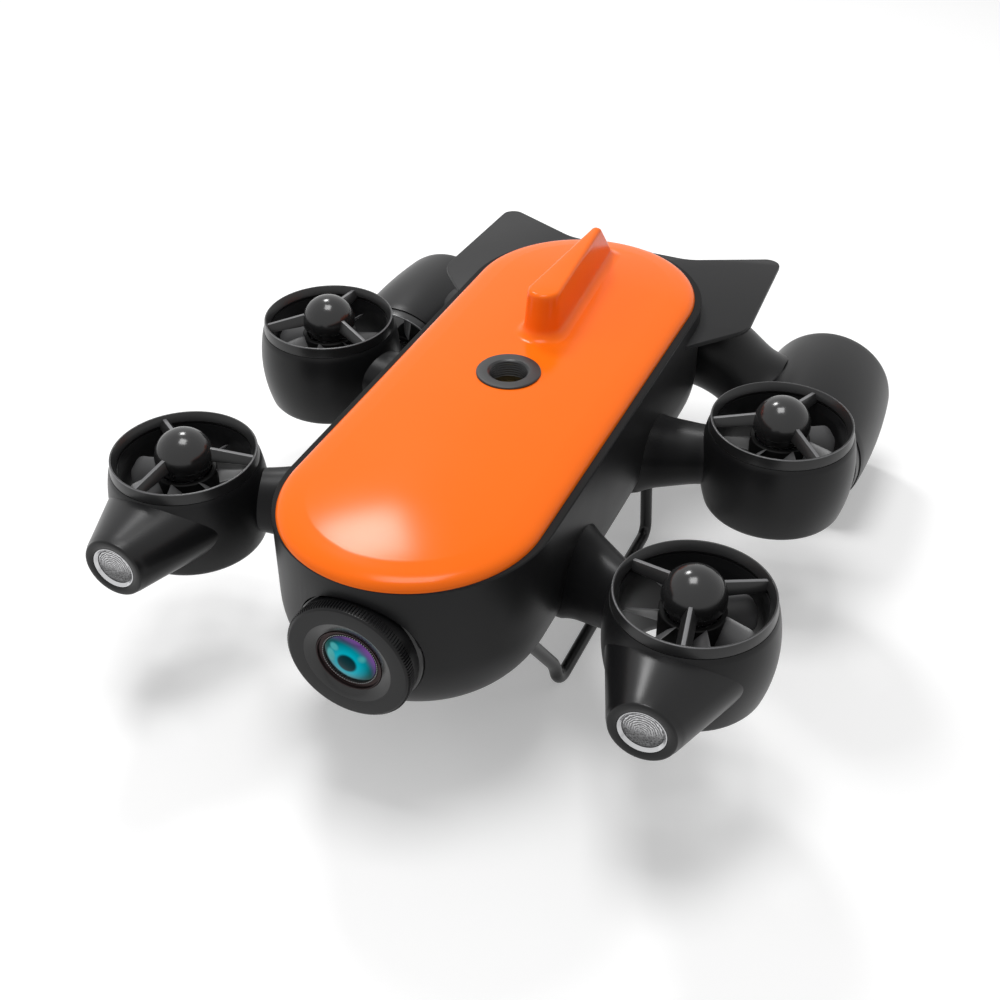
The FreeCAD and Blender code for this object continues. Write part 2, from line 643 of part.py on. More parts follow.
# where each thruster stands, and how far its guard vanes are turned
STATIONS = {
    "front_left": ("-thruster_x", "front_y", "ring_top_z", 20.5, UPRIGHT),
    "front_right": ("thruster_x", "front_y", "ring_top_z", 39.5, UPRIGHT),
    "rear_left": ("-thruster_x", "rear_y", "ring_top_z", 95.0, UPRIGHT),
    "rear_right": ("thruster_x", "rear_y", "ring_top_z", 76.4, UPRIGHT),
    "tail_left": ("-tail_x", "tail_front_y", "tail_z", 30.0, LEVEL),
    "tail_right": ("tail_x", "tail_front_y", "tail_z", 30.0, LEVEL),
}
envelopes = {}
for station, (x, y, z, turn, form) in STATIONS.items():
    stand = Rotation() if form is UPRIGHT else FORWARD
    turned = stand.multiply(Rotation(Vector(0, 0, 1), turn))
    envelopes[station] = duct_envelope("envelope_" + station, form)
    place(envelopes[station], x, y, z, stand)
    for label, build, rotation in (("duct_", lambda name: duct(name, form), stand),
                                   ("guard_", guard, turned),
                                   ("motor_", motor, stand),
                                   ("propeller_", propeller, stand)):
        place(keep(label + station, build(label + station)), x, y, z, rotation)


# ---------------------------------------------------------------- arms
def arm(label, stations, envelope):
    """A tapered tube between two seats; a station is (x, y, z, radius)."""
    body = new_body(label + "_form")
    sections = []
    for index, (x, y, z, radius) in enumerate(stations):
        section = sketch_on(body, f"{label}_section_{index}", "YZ_Plane", x)
        ring(section, radius, y, z)
        sections.append(section)
    loft(body, sections)
    return cut(label, body, hull_outside, envelope)


def straight_arm(label, prefix, envelope):
    """A straight tapered arm, run on at both ends into its seats."""
    def beyond(root, tip, share):
        return f"({root} + ({tip} - {root}) * {share})"
    before = "(-arm_reach / (arm_tip_x - arm_root_x))"
    after = "(1 + arm_reach / (arm_tip_x - arm_root_x))"
    pairs = (("arm_root_x", "arm_tip_x"), (prefix + "_root_y", prefix + "_tip_y"),
             ("arm_root_z", "arm_tip_z"), (prefix + "_root_radius", prefix + "_tip_radius"))
    stations = [tuple(beyond(root, tip, share) for root, tip in pairs) for share in (before, after)]
    return arm(label, stations, envelope)


TAIL_ARM = (
    ("arm_root_x - 26", "tail_front_y + tail_length / 2 - 0.7", "arm_root_z + 4.5", "tail_arm_radius"),
    ("arm_root_x", "tail_front_y + tail_length / 2 - 0.7", "arm_root_z + 1.5", "tail_arm_radius + 1"),
    ("tail_x - tail_radius - 8", "tail_front_y + tail_length / 2 - 0.7", "tail_z + 27",
     "tail_arm_flare - 6"),
    ("tail_x - tail_radius + 8", "tail_front_y + tail_length / 2 - 0.7", "tail_z + 9",
     "tail_arm_flare - 1"),
    ("tail_x - tail_radius / 2", "tail_front_y + tail_length / 2 - 0.7", "tail_z + 4", "tail_arm_flare"),
)
for station, build in (
        ("front", lambda label, seat: straight_arm(label, "front_arm", seat)),
        ("rear", lambda label, seat: straight_arm(label, "rear_arm", seat)),
        ("tail", lambda label, seat: arm(label, TAIL_ARM, seat))):
    right = keep(f"arm_{station}_right", build(f"arm_{station}_right", envelopes[station + "_right"]))
    keep(f"arm_{station}_left", mirrored(f"arm_{station}_left", right))


# ---------------------------------------------------------------- lamps
def lamp_housing(label):
    """A cone from a round face to a wide oval that saddles the duct."""
    body = new_body(label + "_form")
    face = sketch_on(body, label + "_face", "XZ_Plane", "-lamp_face_y")
    ring(face, "lamp_radius", "lamp_x", "lamp_z")
    back = sketch_on(body, label + "_back", "XZ_Plane", "-lamp_face_y - lamp_length")
    oval(back, "lamp_x", "lamp_z", "lamp_radius + lamp_spread * lamp_length",
         "lamp_radius + lamp_lift * lamp_length")
    loft(body, [face, back], ruled=True)
    bore = cylinder(label + "_bore", "lamp_bore + clearance", "lamp_bore_depth",
                    "lamp_x", "lamp_face_y + lamp_bore_depth", "lamp_z", FORWARD)
    return cut(label, body, bore, envelopes["front_right"])


def dome_height(edge, radius):
    """Rise of a round cap above its edge."""
    return f"({radius} - sqrt({radius} ^ 2 - ({edge}) ^ 2))"


def oval(sketch, x, y, wide, tall):
    """An ellipse that is wider than tall, with its axes bound to the sheet."""
    centre = Vector(size(x), size(y), 0)
    shape = Part.Ellipse(centre + Vector(size(wide), 0, 0), centre + Vector(0, size(tall), 0), centre)
    edge = sketch.addGeometry(shape, False)
    sketch.exposeInternalGeometry(edge)
    major, minor = edge + 1, edge + 2
    pin_down(sketch, "DistanceX", edge, 3, x)
    pin_down(sketch, "DistanceY", edge, 3, y)
    sketch.addConstraint(Sketcher.Constraint("Horizontal", major))
    for axis, kind, span in ((major, "DistanceX", wide), (minor, "DistanceY", tall)):
        index = sketch.addConstraint(
            Sketcher.Constraint(kind, axis, 2, axis, 1, 2 * size(span)))
        sketch.setExpression(f"Constraints[{index}]", link(f"2 * ({span})"))


def lamp_reflector(label):
    body = new_body(label)
    half = sketch_on(body, label + "_half", "XZ_Plane")
    outline(half, ("0", "-lamp_bore_depth"), ("lamp_bore", "-lamp_bore_depth"),
            ("lamp_bore", "-lamp_recess"), ("lamp_bore - reflector_wall", "-lamp_recess"),
            ("lamp_bore - reflector_wall", "-lamp_recess - lamp_lens_thickness - clearance"),
            ("lamp_bore / 3", "-lamp_bore_depth + 2"), ("0", "-lamp_bore_depth + 2"))
    revolve(body, half)
    place(body, "lamp_x", "lamp_face_y", "lamp_z", FORWARD)
    return body


def lamp_lens(label):
    body = new_body(label)
    half = sketch_on(body, label + "_half", "XZ_Plane")
    edge = "lamp_bore - reflector_wall - clearance"
    outline(half, ("0", "-lamp_recess - lamp_lens_thickness - clearance"),
            (edge, "-lamp_recess - lamp_lens_thickness - clearance"),
            (edge, "-lamp_recess - 0.8"),
            ("0", f"-lamp_recess - 0.8 + {dome_height(edge, 'lamp_dome')}", "lamp_dome"))
    revolve(body, half)
    place(body, "lamp_x", "lamp_face_y", "lamp_z", FORWARD)
    return body


for label, build in (("lamp_housing", lamp_housing), ("lamp_reflector", lamp_reflector),
                     ("lamp_lens", lamp_lens)):
    right = keep(label + "_right", build(label + "_right"))
    keep(label + "_left", mirrored(label + "_left", right))


# ---------------------------------------------------------------- camera window
# Drawn upright with its own origin in the window's front face.
def turned(label, *points):
    """A round part of the camera window, turned to face the nose."""
    body = new_body(label)
    half = sketch_on(body, label + "_half", "XZ_Plane")
    outline(half, *points)
    revolve(body, half)
    place(body, "0", "hull_nose_y - hull_radius - window_reach", "window_z", FORWARD)
    return keep(label, body)


turned("lens_ring",
       ("ring_bore", "-ring_depth + spigot_length"),
       ("spigot_radius + clearance", "-ring_depth + spigot_length"),
       ("spigot_radius + clearance", "-ring_depth"),
       ("ring_outer", "-ring_depth"), ("ring_outer", "-0.8"), ("ring_outer - 0.8", "0"),
       ("ring_dish", "0"), ("ring_bore", "-dish_depth"))
turned("lens_collar",
       ("ring_bore", "-ring_depth - collar_length"), ("collar_radius", "-ring_depth - collar_length"),
       ("collar_radius", "-ring_depth"), ("spigot_radius", "-ring_depth"),
       ("spigot_radius", "-ring_depth + spigot_length"), ("ring_bore", "-ring_depth + spigot_length"))
turned("lens_bezel",
       ("ring_bore - clearance", "-dish_depth"),
       ("bezel_lip", "-dish_depth"), ("bezel_lip", "-dish_depth - 1.4"),
       ("glass_radius + clearance", "-dish_depth - 1.4"),
       ("glass_radius + clearance", "-dish_depth - bezel_length"),
       ("ring_bore - clearance", "-dish_depth - bezel_length"))
turned("lens_glass",
       ("0", "-dish_depth - 1.4 - glass_thickness"), ("glass_radius", "-dish_depth - 1.4 - glass_thickness"),
       ("glass_radius", "-dish_depth - 1.4"), ("bezel_lip - 0.3", "-dish_depth - 1.4"),
       ("0", "-dish_depth - 1.4 + " + dome_height("bezel_lip - 0.3", "glass_dome"), "glass_dome"))


def camera_module():
    body = turned("camera_module",
                  ("0", "-dish_depth - bezel_length - camera_length"),
                  ("ring_bore - clearance", "-dish_depth - bezel_length - camera_length"),
                  ("ring_bore - clearance", "-dish_depth - bezel_length"),
                  ("glass_radius - 2", "-dish_depth - bezel_length"),
                  ("glass_radius - 4", "-dish_depth - bezel_length - 3"),
                  ("0", "-dish_depth - bezel_length - 3 + " + dome_height("glass_radius - 4", "glass_dome"),
                   "glass_dome"))
    back = sketch_on(body, "camera_block_plan", "XY_Plane", "-dish_depth - bezel_length - camera_length")
    half = "camera_block / 2"
    outline(back, (half, "-" + half), (half, half), ("-" + half, half), ("-" + half, "-" + half))
    extrude(body, back, "camera_block_length", reverse=True)


camera_module()


# ---------------------------------------------------------------- tether port
def port_ring():
    body = new_body("port_ring")
    half = sketch_on(body, "port_half", "XZ_Plane")
    outline(half, ("socket_radius", "-port_depth"), ("port_tube", "-port_depth"),
            ("port_tube", "-port_flange"), ("port_radius", "-port_flange"),
            ("port_radius", "-0.5"), ("port_radius - 0.5", "0"), ("port_bore + 0.6", "0"),
            ("port_bore", "-0.6"), ("port_bore", "-port_thread - 0.6"),
            ("socket_radius", "-port_thread - 0.6"))
    revolve(body, half)
    place(body, "0", "port_y", "seam_z + crown_height + port_flange")
    return body


def port_socket():
    body = new_body("port_socket")
    plan = sketch_on(body, "socket_plan", "XY_Plane", "-port_depth")
    ring(plan, "socket_radius - clearance")
    extrude(body, plan, "socket_height")
    pin = sketch_on(body, "contact_plan", "XY_Plane", "-port_depth + socket_height")
    ring(pin, "contact_radius", "contact_circle")
    polar(body, extrude(body, pin, "contact_height"), "contact_count")
    place(body, "0", "port_y", "seam_z + crown_height + port_flange")
    return body


keep("port_ring", port_ring())
keep("port_socket", port_socket())


# ---------------------------------------------------------------- skids
def skid_path(points, *bends):
    """Straight runs joined by tangent arcs, as one wire."""
    edges = []
    start = points[0]
    for before, corner, after, bend in zip(points, points[1:], points[2:], bends):
        back = (before - corner).normalize()
        ahead = (after - corner).normalize()
        half_turn = back.getAngle(ahead) / 2
        trim = bend / math.tan(half_turn)
        entry = corner + back * trim
        leave = corner + ahead * trim
        middle = (back + ahead).normalize()
        inside = corner + middle * (bend / math.sin(half_turn) - bend)
        edges.append(Part.LineSegment(start, entry).toShape())
        edges.append(Part.Arc(entry, inside, leave).toShape())
        start = leave
    edges.append(Part.LineSegment(start, points[-1]).toShape())
    return Part.Wire(edges)


def skid(label):
    """A bent tube that runs from the hull along the ground and back up."""
    rail_z = size("skid_radius")
    knee_z = size("skid_radius + skid_knee_height")
    top_z = size("skid_radius + skid_leg_height")
    rail_x = size("skid_x")
    knee_x = size("skid_x - skid_lean * skid_knee_height / skid_leg_height")
    top_x = size("skid_x - skid_lean")
    front, rear = size("skid_front_y"), size("skid_rear_y")
    path = skid_path([Vector(top_x, front - size("skid_front_leg"), top_z),
                      Vector(knee_x, front - size("skid_knee_reach"), knee_z),
                      Vector(rail_x, front, rail_z), Vector(rail_x, rear, rail_z),
                      Vector(top_x, rear, top_z)],
                     size("skid_knee_bend"), size("skid_front_bend"), size("skid_rear_bend"))
    first = path.Edges[0]
    section = Part.Wire(Part.makeCircle(size("skid_radius"), first.valueAt(first.FirstParameter),
                                        first.tangentAt(first.FirstParameter)))
    tube = doc.addObject("Part::Feature", label + "_tube")
    tube.Shape = path.makePipeShell([section], True, False)
    return cut(label, tube, hull_outside)


right = keep("skid_right", skid("skid_right"))
keep("skid_left", mirrored("skid_left", right))


# ---------------------------------------------------------------- inner parts
def block(body, name, width, length, height, x="0", y="0", z="0"):
    """A block standing on height z, centred on x and y."""
    plan = sketch_on(body, name, "XY_Plane", z)
    outline(plan, (f"{x} + {width} / 2", f"{y} - {length} / 2"), (f"{x} + {width} / 2", f"{y} + {length} / 2"),
            (f"{x} - {width} / 2", f"{y} + {length} / 2"), (f"{x} - {width} / 2", f"{y} - {length} / 2"))
    return extrude(body, plan, height)


def battery_pack():
    body = new_body("battery_pack")
    block(body, "battery_plan", "battery_width", "battery_length", "battery_height",
          "0", "battery_y", "hull_bottom_z + hull_wall")
    return body


def main_board():
    """Control board with its posts, which stand on the battery pack."""
    body = new_body("main_board")
    deck = "(hull_bottom_z + hull_wall + battery_height + post_height)"
    block(body, "board_plan", "board_width", "board_length", "board_thickness", "0", "battery_y", deck)
    block(body, "chip_plan", "chip_side", "chip_side", "chip_height",
          "0", "battery_y", deck + " + board_thickness")
    for side in ("-", ""):
        for end in ("-", ""):
            post = sketch_on(body, "post" + ("_left" if side else "_right") + ("_front" if end else "_rear"),
                             "XY_Plane", deck)
            ring(post, "post_radius", f"{side}(battery_width / 2 - post_radius)",
                 f"battery_y + {end}(battery_length / 2 - 3 * post_radius)".replace("+ -", "- "))
            extrude(body, post, "post_height", reverse=True)
    return body


keep("battery_pack", battery_pack())
keep("main_board", main_board())


# ---------------------------------------------------------------- check and write
doc.recompute()
faulty = [f"{item.Label}: {item.State}" for item in doc.Objects
          if "Invalid" in item.State or "Error" in item.State]
for label, thing in nodes.items():
    shape = thing.Shape
    if shape.isNull() or not shape.isValid() or not shape.Solids:
        faulty.append(f"{label}: bad shape")
if faulty:
    raise SystemExit("faulty: " + "; ".join(faulty))

os.makedirs("parts", exist_ok=True)
facets = 0
for label, thing in nodes.items():
    thing.Shape.exportStep(f"parts/{label}.step")
    count = len(thing.Shape.tessellate(0.4)[1])
    facets += count
    print(f"{label:24} solids {len(thing.Shape.Solids)} volume {thing.Shape.Volume:10.1f} facets {count}")
print(len(nodes), "nodes,", facets, "facets")
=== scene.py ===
import bmesh
import bpy
import math
from mathutils import Matrix, Vector


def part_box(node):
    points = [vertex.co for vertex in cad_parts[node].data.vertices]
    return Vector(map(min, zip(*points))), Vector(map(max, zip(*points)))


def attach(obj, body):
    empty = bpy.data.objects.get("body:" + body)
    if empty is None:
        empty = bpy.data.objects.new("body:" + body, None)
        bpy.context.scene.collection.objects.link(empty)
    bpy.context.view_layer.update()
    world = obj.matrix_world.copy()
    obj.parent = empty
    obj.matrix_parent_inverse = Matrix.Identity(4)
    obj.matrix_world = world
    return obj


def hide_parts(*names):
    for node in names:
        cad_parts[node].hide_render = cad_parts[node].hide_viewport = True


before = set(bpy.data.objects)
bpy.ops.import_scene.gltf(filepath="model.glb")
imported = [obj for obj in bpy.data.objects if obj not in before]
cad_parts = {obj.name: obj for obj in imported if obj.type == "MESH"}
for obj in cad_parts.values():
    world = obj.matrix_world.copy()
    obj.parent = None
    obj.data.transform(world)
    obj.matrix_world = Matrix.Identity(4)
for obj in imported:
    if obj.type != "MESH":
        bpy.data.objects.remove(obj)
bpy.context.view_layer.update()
mm = 0.001
print("frame loaded:", len(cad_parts), "nodes")


# places read from the frame
def boxOf(node):
    low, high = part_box(node)
    return low, high, (low + high) / 2


hullLow, hullHigh, _ = boxOf("hull_shell")
coverLow, coverHigh, _ = boxOf("top_cover")
windowLow, _, windowMiddle = boxOf("lens_ring")
seamZ = hullHigh.z
hullRadius = hullHigh.x
hullNoseY, hullTailY = hullLow.y + hullRadius, hullHigh.y - hullRadius
coverRadius = coverHigh.x
coverNoseY, coverTailY = coverLow.y + coverRadius, coverHigh.y - coverRadius
quarterTurn = Matrix.Rotation(math.pi / 2, 4, "X")    # turns +Z to the front

ringHeight = 6.0    # guard ring, above the duct
guardTurns = {"front_left": 20.5, "front_right": 39.5, "rear_left": 95.0,
              "rear_right": 76.4, "tail_left": 30.0, "tail_right": 30.0}


def standOf(station):    # a thruster's own frame: origin in the ring's top plane, +Z out of the inlet
    low, high, middle = boxOf("duct_" + station)
    if station.startswith("tail"):
        return Matrix.Translation((middle.x, low.y - ringHeight * mm, middle.z)) @ quarterTurn
    return Matrix.Translation((middle.x, middle.y, high.z + ringHeight * mm))


# ---- node helpers and the shared shader group
def addNode(tree, kind, values=None, **settings):    # values are for its sockets, settings for the node
    node = tree.nodes.new(kind)
    for name, value in settings.items():
        setattr(node, name, value)
    for socket, value in (values or {}).items():
        node.inputs[socket].default_value = value
    return node


def linkAll(tree, *links):    # each is a node, its output, another node and its input
    for source, output, target, socket in links:
        tree.links.new(source.outputs[output], target.inputs[socket])


def addSockets(group, inputs, outputs):
    for name, kind, value in inputs:
        socket = group.interface.new_socket(name, in_out="INPUT", socket_type=kind)
        if value is not None:
            socket.default_value = value
    for name, kind in outputs:
        group.interface.new_socket(name, in_out="OUTPUT", socket_type=kind)


def makeGrainGroup():    # fine moulded grain with soft patches of sheen
    group = bpy.data.node_groups.new("mouldedGrain", "ShaderNodeTree")
    addSockets(group,
               [("Color", "NodeSocketColor", (0.02, 0.02, 0.02, 1)), ("Tone Spread", "NodeSocketFloat", 0.2),
                ("Roughness", "NodeSocketFloat", 0.4), ("Roughness Spread", "NodeSocketFloat", 0.08),
                ("Grain Scale", "NodeSocketFloat", 1500.0), ("Grain Depth", "NodeSocketFloat", 0.05)],
               [("Color", "NodeSocketColor"), ("Roughness", "NodeSocketFloat"),
                ("Normal", "NodeSocketVector")])
    entry, leave = addNode(group, "NodeGroupInput"), addNode(group, "NodeGroupOutput")
    place = addNode(group, "ShaderNodeTexCoord")
    fine = addNode(group, "ShaderNodeTexNoise", {"Detail": 3})
    patches = addNode(group, "ShaderNodeTexNoise", {"Scale": 28, "Detail": 4})
    bump = addNode(group, "ShaderNodeBump", {"Distance": 0.2 * mm})
    centred = addNode(group, "ShaderNodeMath", {1: 0.5}, operation="SUBTRACT")
    spread = addNode(group, "ShaderNodeMath", operation="MULTIPLY_ADD")
    tone = addNode(group, "ShaderNodeMath", {2: 1}, operation="MULTIPLY_ADD")
    shade = addNode(group, "ShaderNodeVectorMath", operation="SCALE")
    linkAll(group, (place, "Object", fine, "Vector"), (place, "Object", patches, "Vector"),
            (entry, "Grain Scale", fine, "Scale"),
            (fine, "Fac", bump, "Height"),
            (entry, "Grain Depth", bump, "Strength"),
            (patches, "Fac", centred, 0),
            (centred, 0, spread, 0),
            (entry, "Roughness Spread", spread, 1),
            (entry, "Roughness", spread, 2),
            (centred, 0, tone, 0),
            (entry, "Tone Spread", tone, 1),
            (entry, "Color", shade, 0),
            (tone, 0, shade, "Scale"),
            (shade, 0, leave, "Color"),
            (spread, 0, leave, "Roughness"),
            (bump, "Normal", leave, "Normal"))
    return group


grainGroup = makeGrainGroup()


# ---- materials
def newMaterial(name, **settings):
    material = bpy.data.materials.new(name)
    material.use_nodes = True
    shader = material.node_tree.nodes["Principled BSDF"]
    for socket, value in settings.items():
        shader.inputs[socket.replace("_", " ")].default_value = value
    return material, shader


def grainMaterial(name, color, roughness, toneSpread=0.25, roughnessSpread=0.1,
                  scale=1500, depth=0.06, **settings):
    material, shader = newMaterial(name, **settings)
    tree = material.node_tree
    grain = addNode(tree, "ShaderNodeGroup", {
        "Color": (*color, 1), "Tone Spread": toneSpread, "Roughness": roughness,
        "Roughness Spread": roughnessSpread, "Grain Scale": scale, "Grain Depth": depth},
        node_tree=grainGroup)
    linkAll(tree, (grain, "Color", shader, "Base Color"),
            (grain, "Roughness", shader, "Roughness"),
            (grain, "Normal", shader, "Normal"))
    return material


hullBlack = grainMaterial("hullBlack", (0.0085, 0.0085, 0.009), 0.38, depth=0.08, scale=1100,
                          Specular_IOR_Level=0.2)
ductBlack = grainMaterial("ductBlack", (0.0075, 0.0075, 0.008), 0.36, depth=0.05, scale=1600,
                          Specular_IOR_Level=0.22)
lampBlack = grainMaterial("lampBlack", (0.007, 0.007, 0.0075), 0.31, depth=0.05, scale=1600,
                          Specular_IOR_Level=0.28)
wingBlack = grainMaterial("wingBlack", (0.011, 0.011, 0.0115), 0.45, depth=0.05, scale=1300,
                          Specular_IOR_Level=0.2)
guardBlack = grainMaterial("guardBlack", (0.014, 0.014, 0.0145), 0.3, depth=0.015, scale=900,
                           Specular_IOR_Level=0.42)
rotorBlack = grainMaterial("rotorBlack", (0.006, 0.006, 0.006), 0.5, depth=0.02, scale=900,
                           Specular_IOR_Level=0.15)
skidBlack = grainMaterial("skidBlack", (0.011, 0.011, 0.011), 0.33, depth=0.06, scale=1500,
                          Specular_IOR_Level=0.35)
ringBlack = grainMaterial("ringBlack", (0.007, 0.007, 0.0075), 0.32, depth=0.03, scale=1800,
                          Specular_IOR_Level=0.24)
dishBlack = grainMaterial("dishBlack", (0.012, 0.012, 0.0125), 0.2, depth=0.01, scale=1200,
                          Specular_IOR_Level=0.45)
anodised = grainMaterial("anodisedBlack", (0.016, 0.016, 0.017), 0.34, depth=0.05, scale=1800,
                         Specular_IOR_Level=0.4)
sealRubber = grainMaterial("sealRubber", (0.008, 0.008, 0.008), 0.75, depth=0.1, scale=900,
                           Specular_IOR_Level=0.15)
domeGrey = grainMaterial("domeGrey", (0.017, 0.017, 0.0175), 0.17, toneSpread=0.15, roughnessSpread=0.03,
                         depth=0.004, scale=700, Specular_IOR_Level=0.45)
# painted highlight: a light grey for the guard ring's outer top edge and the vane ridges
paintedEdgeHighlight = grainMaterial("paintedEdgeHighlight", (0.13, 0.13, 0.135), 0.3, toneSpread=0.5, depth=0.02, scale=900)
# painted light: the blades are a lighter grey than the black rotor, standing in for light falling on them
# from above
paintedLitBladeGrey = grainMaterial("paintedLitBladeGrey", (0.08, 0.08, 0.082), 0.4, depth=0.03, scale=900)
coverOrange = grainMaterial("coverOrange", (0.98, 0.16, 0.006), 0.17, toneSpread=0.04,
                            roughnessSpread=0.02, depth=0.004, scale=800, Specular_IOR_Level=0.13)
motorSteel = grainMaterial("motorSteel", (0.3, 0.3, 0.31), 0.35, depth=0.03, scale=1400, Metallic=1.0)
lampRing = grainMaterial("lampRing", (0.5, 0.5, 0.51), 0.18, toneSpread=0.95, depth=0.5, scale=130,
                         Metallic=1.0)
brightRing = grainMaterial("brightRing", (0.75, 0.75, 0.76), 0.22, depth=0.12, scale=900, Metallic=1.0)
bezelSteel = grainMaterial("bezelSteel", (0.022, 0.011, 0.011), 0.25, toneSpread=0.6, depth=0.06,
                           scale=1500, Metallic=0.8)
beadSteel = grainMaterial("beadSteel", (0.3, 0.32, 0.32), 0.2, toneSpread=0.9, depth=0.1, scale=700,
                          Metallic=1.0)
contactBrass = grainMaterial("contactBrass", (0.7, 0.5, 0.2), 0.3, depth=0.02, scale=900, Metallic=1.0)
boardGreen = grainMaterial("boardGreen", (0.02, 0.14, 0.06), 0.4, depth=0.08, scale=500)
batteryWrap = grainMaterial("batteryWrap", (0.05, 0.1, 0.3), 0.4, depth=0.03, scale=600)
print("materials made")


# ---- mesh helpers
weldDistance = 0.002 * mm


def paintFaces(mesh, material, wanted):    # gives the faces that are wanted a second finish
    mesh.materials.append(material)
    for face in mesh.polygons:
        if wanted(face):
            face.material_index = len(mesh.materials) - 1


def roundedCorners(points, steps=5):    # (u, v) stays sharp, (u, v, radius) becomes an arc
    result = []
    for i, point in enumerate(points):
        corner = Vector(point[:2])
        if len(point) == 2:
            result.append(corner)
            continue
        before = Vector(points[i - 1][:2]) - corner
        after = Vector(points[(i + 1) % len(points)][:2]) - corner
        half = before.angle(after) / 2
        trim = min(point[2] / math.tan(half), before.length * 0.49, after.length * 0.49)
        radius = trim * math.tan(half)
        before, after = before.normalized(), after.normalized()
        centre = corner + (before + after).normalized() * radius / math.sin(half)
        first, last = corner + before * trim - centre, corner + after * trim - centre
        sweep = first.angle_signed(last)    # clockwise is positive for 2-D vectors
        for k in range(steps + 1):
            result.append(centre + Matrix.Rotation(-sweep * k / steps, 2) @ first)
    return result


def finishMesh(name, vertices, faces, material, body, place=None):
    mesh = bpy.data.meshes.new(name)
    mesh.from_pydata([tuple(v) for v in vertices], [], faces)
    edit = bmesh.new()
    edit.from_mesh(mesh)
    bmesh.ops.remove_doubles(edit, verts=edit.verts, dist=weldDistance)
    bmesh.ops.dissolve_degenerate(edit, edges=edit.edges, dist=weldDistance / 2)
    bmesh.ops.recalc_face_normals(edit, faces=edit.faces)
    edit.to_mesh(mesh)
    edit.free()
    if place is not None:
        mesh.transform(place)
    return finishPiece(name, mesh, material, body)


def finishPiece(name, mesh, material, body, sharpAngle=34):
    mesh.shade_smooth()
    mesh.set_sharp_from_angle(angle=math.radians(sharpAngle))
    piece = bpy.data.objects.new(name, mesh)
    bpy.context.scene.collection.objects.link(piece)
    if material:
        mesh.materials.clear()
        mesh.materials.append(material)
    if body:
        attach(piece, body)
    return piece


def circle(count):    # equal angles all round
    return [2 * math.pi * i / count for i in range(count)]


def lathe(profile, segments, closed=True):    # a profile of (radius, height) turned about Z
    vertices = [(r * math.cos(a), r * math.sin(a), z) for a in circle(segments) for r, z in profile]
    count = len(profile)
    faces = []
    for i in range(segments):
        here, there = i * count, (i + 1) % segments * count
        for k in range(count if closed else count - 1):
            n = (k + 1) % count
            faces.append((here + k, there + k, there + n, here + n))
    return vertices, faces


def loftRings(rings):    # closed rings of equally many points, capped at both ends
    count = len(rings[0])
    vertices = [p for ring in rings for p in ring]
    faces = []
    for i in range(len(rings) - 1):
        for k in range(count):
            n = (k + 1) % count
            faces.append((i * count + k, i * count + n, (i + 1) * count + n, (i + 1) * count + k))
    faces.append(tuple(range(count))[::-1])
    faces.append(tuple((len(rings) - 1) * count + k for k in range(count)))
    return vertices, faces


def bakeModifiers(piece):
    evaluated = piece.evaluated_get(bpy.context.evaluated_depsgraph_get())
    baked = bpy.data.meshes.new_from_object(evaluated)
    piece.modifiers.clear()
    piece.data = baked


def plainSolid(name, vertices, faces, place=None):
    return finishMesh(name, vertices, faces, None, None, place)


def plug(radius, start, end, segments, place):    # a cylinder to cut with, in millimetres
    profile = [(0, start), (radius, start), (radius, end), (0, end)]
    return plainSolid("plug", *lathe(scaled(profile), segments, closed=False), place)


def meshFrom(piece):    # keeps the mesh and drops the object
    mesh = piece.data
    bpy.data.objects.remove(piece)
    return mesh


def cutMesh(vertices, faces, material, cutter):    # what is left of a shell outside the cutter
    piece = finishMesh("uncut", vertices, faces, material, None)
    modifier = piece.modifiers.new("cut", "BOOLEAN")
    modifier.operation = "DIFFERENCE"
    modifier.solver = "EXACT"
    modifier.object = cutter
    bakeModifiers(piece)
    bpy.data.objects.remove(cutter)
    return meshFrom(piece)


# ---- a tree that repeats a piece about its own Z axis
def makeRepeatTree():
    tree = bpy.data.node_groups.new("repeatAboutAxis", "GeometryNodeTree")
    addSockets(tree, [("Geometry", "NodeSocketGeometry", None), ("Count", "NodeSocketInt", 3),
                      ("Start Angle", "NodeSocketFloat", 0.0), ("Finish", "NodeSocketMaterial", None)],
               [("Geometry", "NodeSocketGeometry")])
    entry, leave = addNode(tree, "NodeGroupInput"), addNode(tree, "NodeGroupOutput")
    line = addNode(tree, "GeometryNodeMeshLine", {"Offset": (0, 0, 0)})
    index = addNode(tree, "GeometryNodeInputIndex")
    step = addNode(tree, "ShaderNodeMath", {0: 2 * math.pi}, operation="DIVIDE")
    angle = addNode(tree, "ShaderNodeMath", operation="MULTIPLY_ADD")
    turn = addNode(tree, "ShaderNodeCombineXYZ")
    copies = addNode(tree, "GeometryNodeInstanceOnPoints")
    solid = addNode(tree, "GeometryNodeRealizeInstances")
    finish = addNode(tree, "GeometryNodeSetMaterial")
    linkAll(tree, (entry, "Count", line, "Count"),
            (entry, "Count", step, 1),
            (index, 0, angle, 0),
            (step, 0, angle, 1),
            (entry, "Start Angle", angle, 2),
            (angle, 0, turn, "Z"),
            (line, "Mesh", copies, "Points"),
            (entry, "Geometry", copies, "Instance"),
            (turn, 0, copies, "Rotation"),
            (copies, 0, solid, 0),
            (solid, 0, finish, "Geometry"),
            (entry, "Finish", finish, "Material"),
            (finish, 0, leave, "Geometry"))
    return tree


repeatTree = makeRepeatTree()


def repeated(vertices, faces, count, startAngle, material):    # the plain mesh of all the copies
    seed = plainSolid("seed", vertices, faces)
    modifier = seed.modifiers.new("repeat", "NODES")
    modifier.node_group = repeatTree
    inputs = {item.name: item.identifier for item in repeatTree.interface.items_tree
              if item.item_type == "SOCKET" and item.in_out == "INPUT"}
    modifier[inputs["Count"]] = count
    modifier[inputs["Start Angle"]] = startAngle
    modifier[inputs["Finish"]] = material
    bakeModifiers(seed)
    return meshFrom(seed)


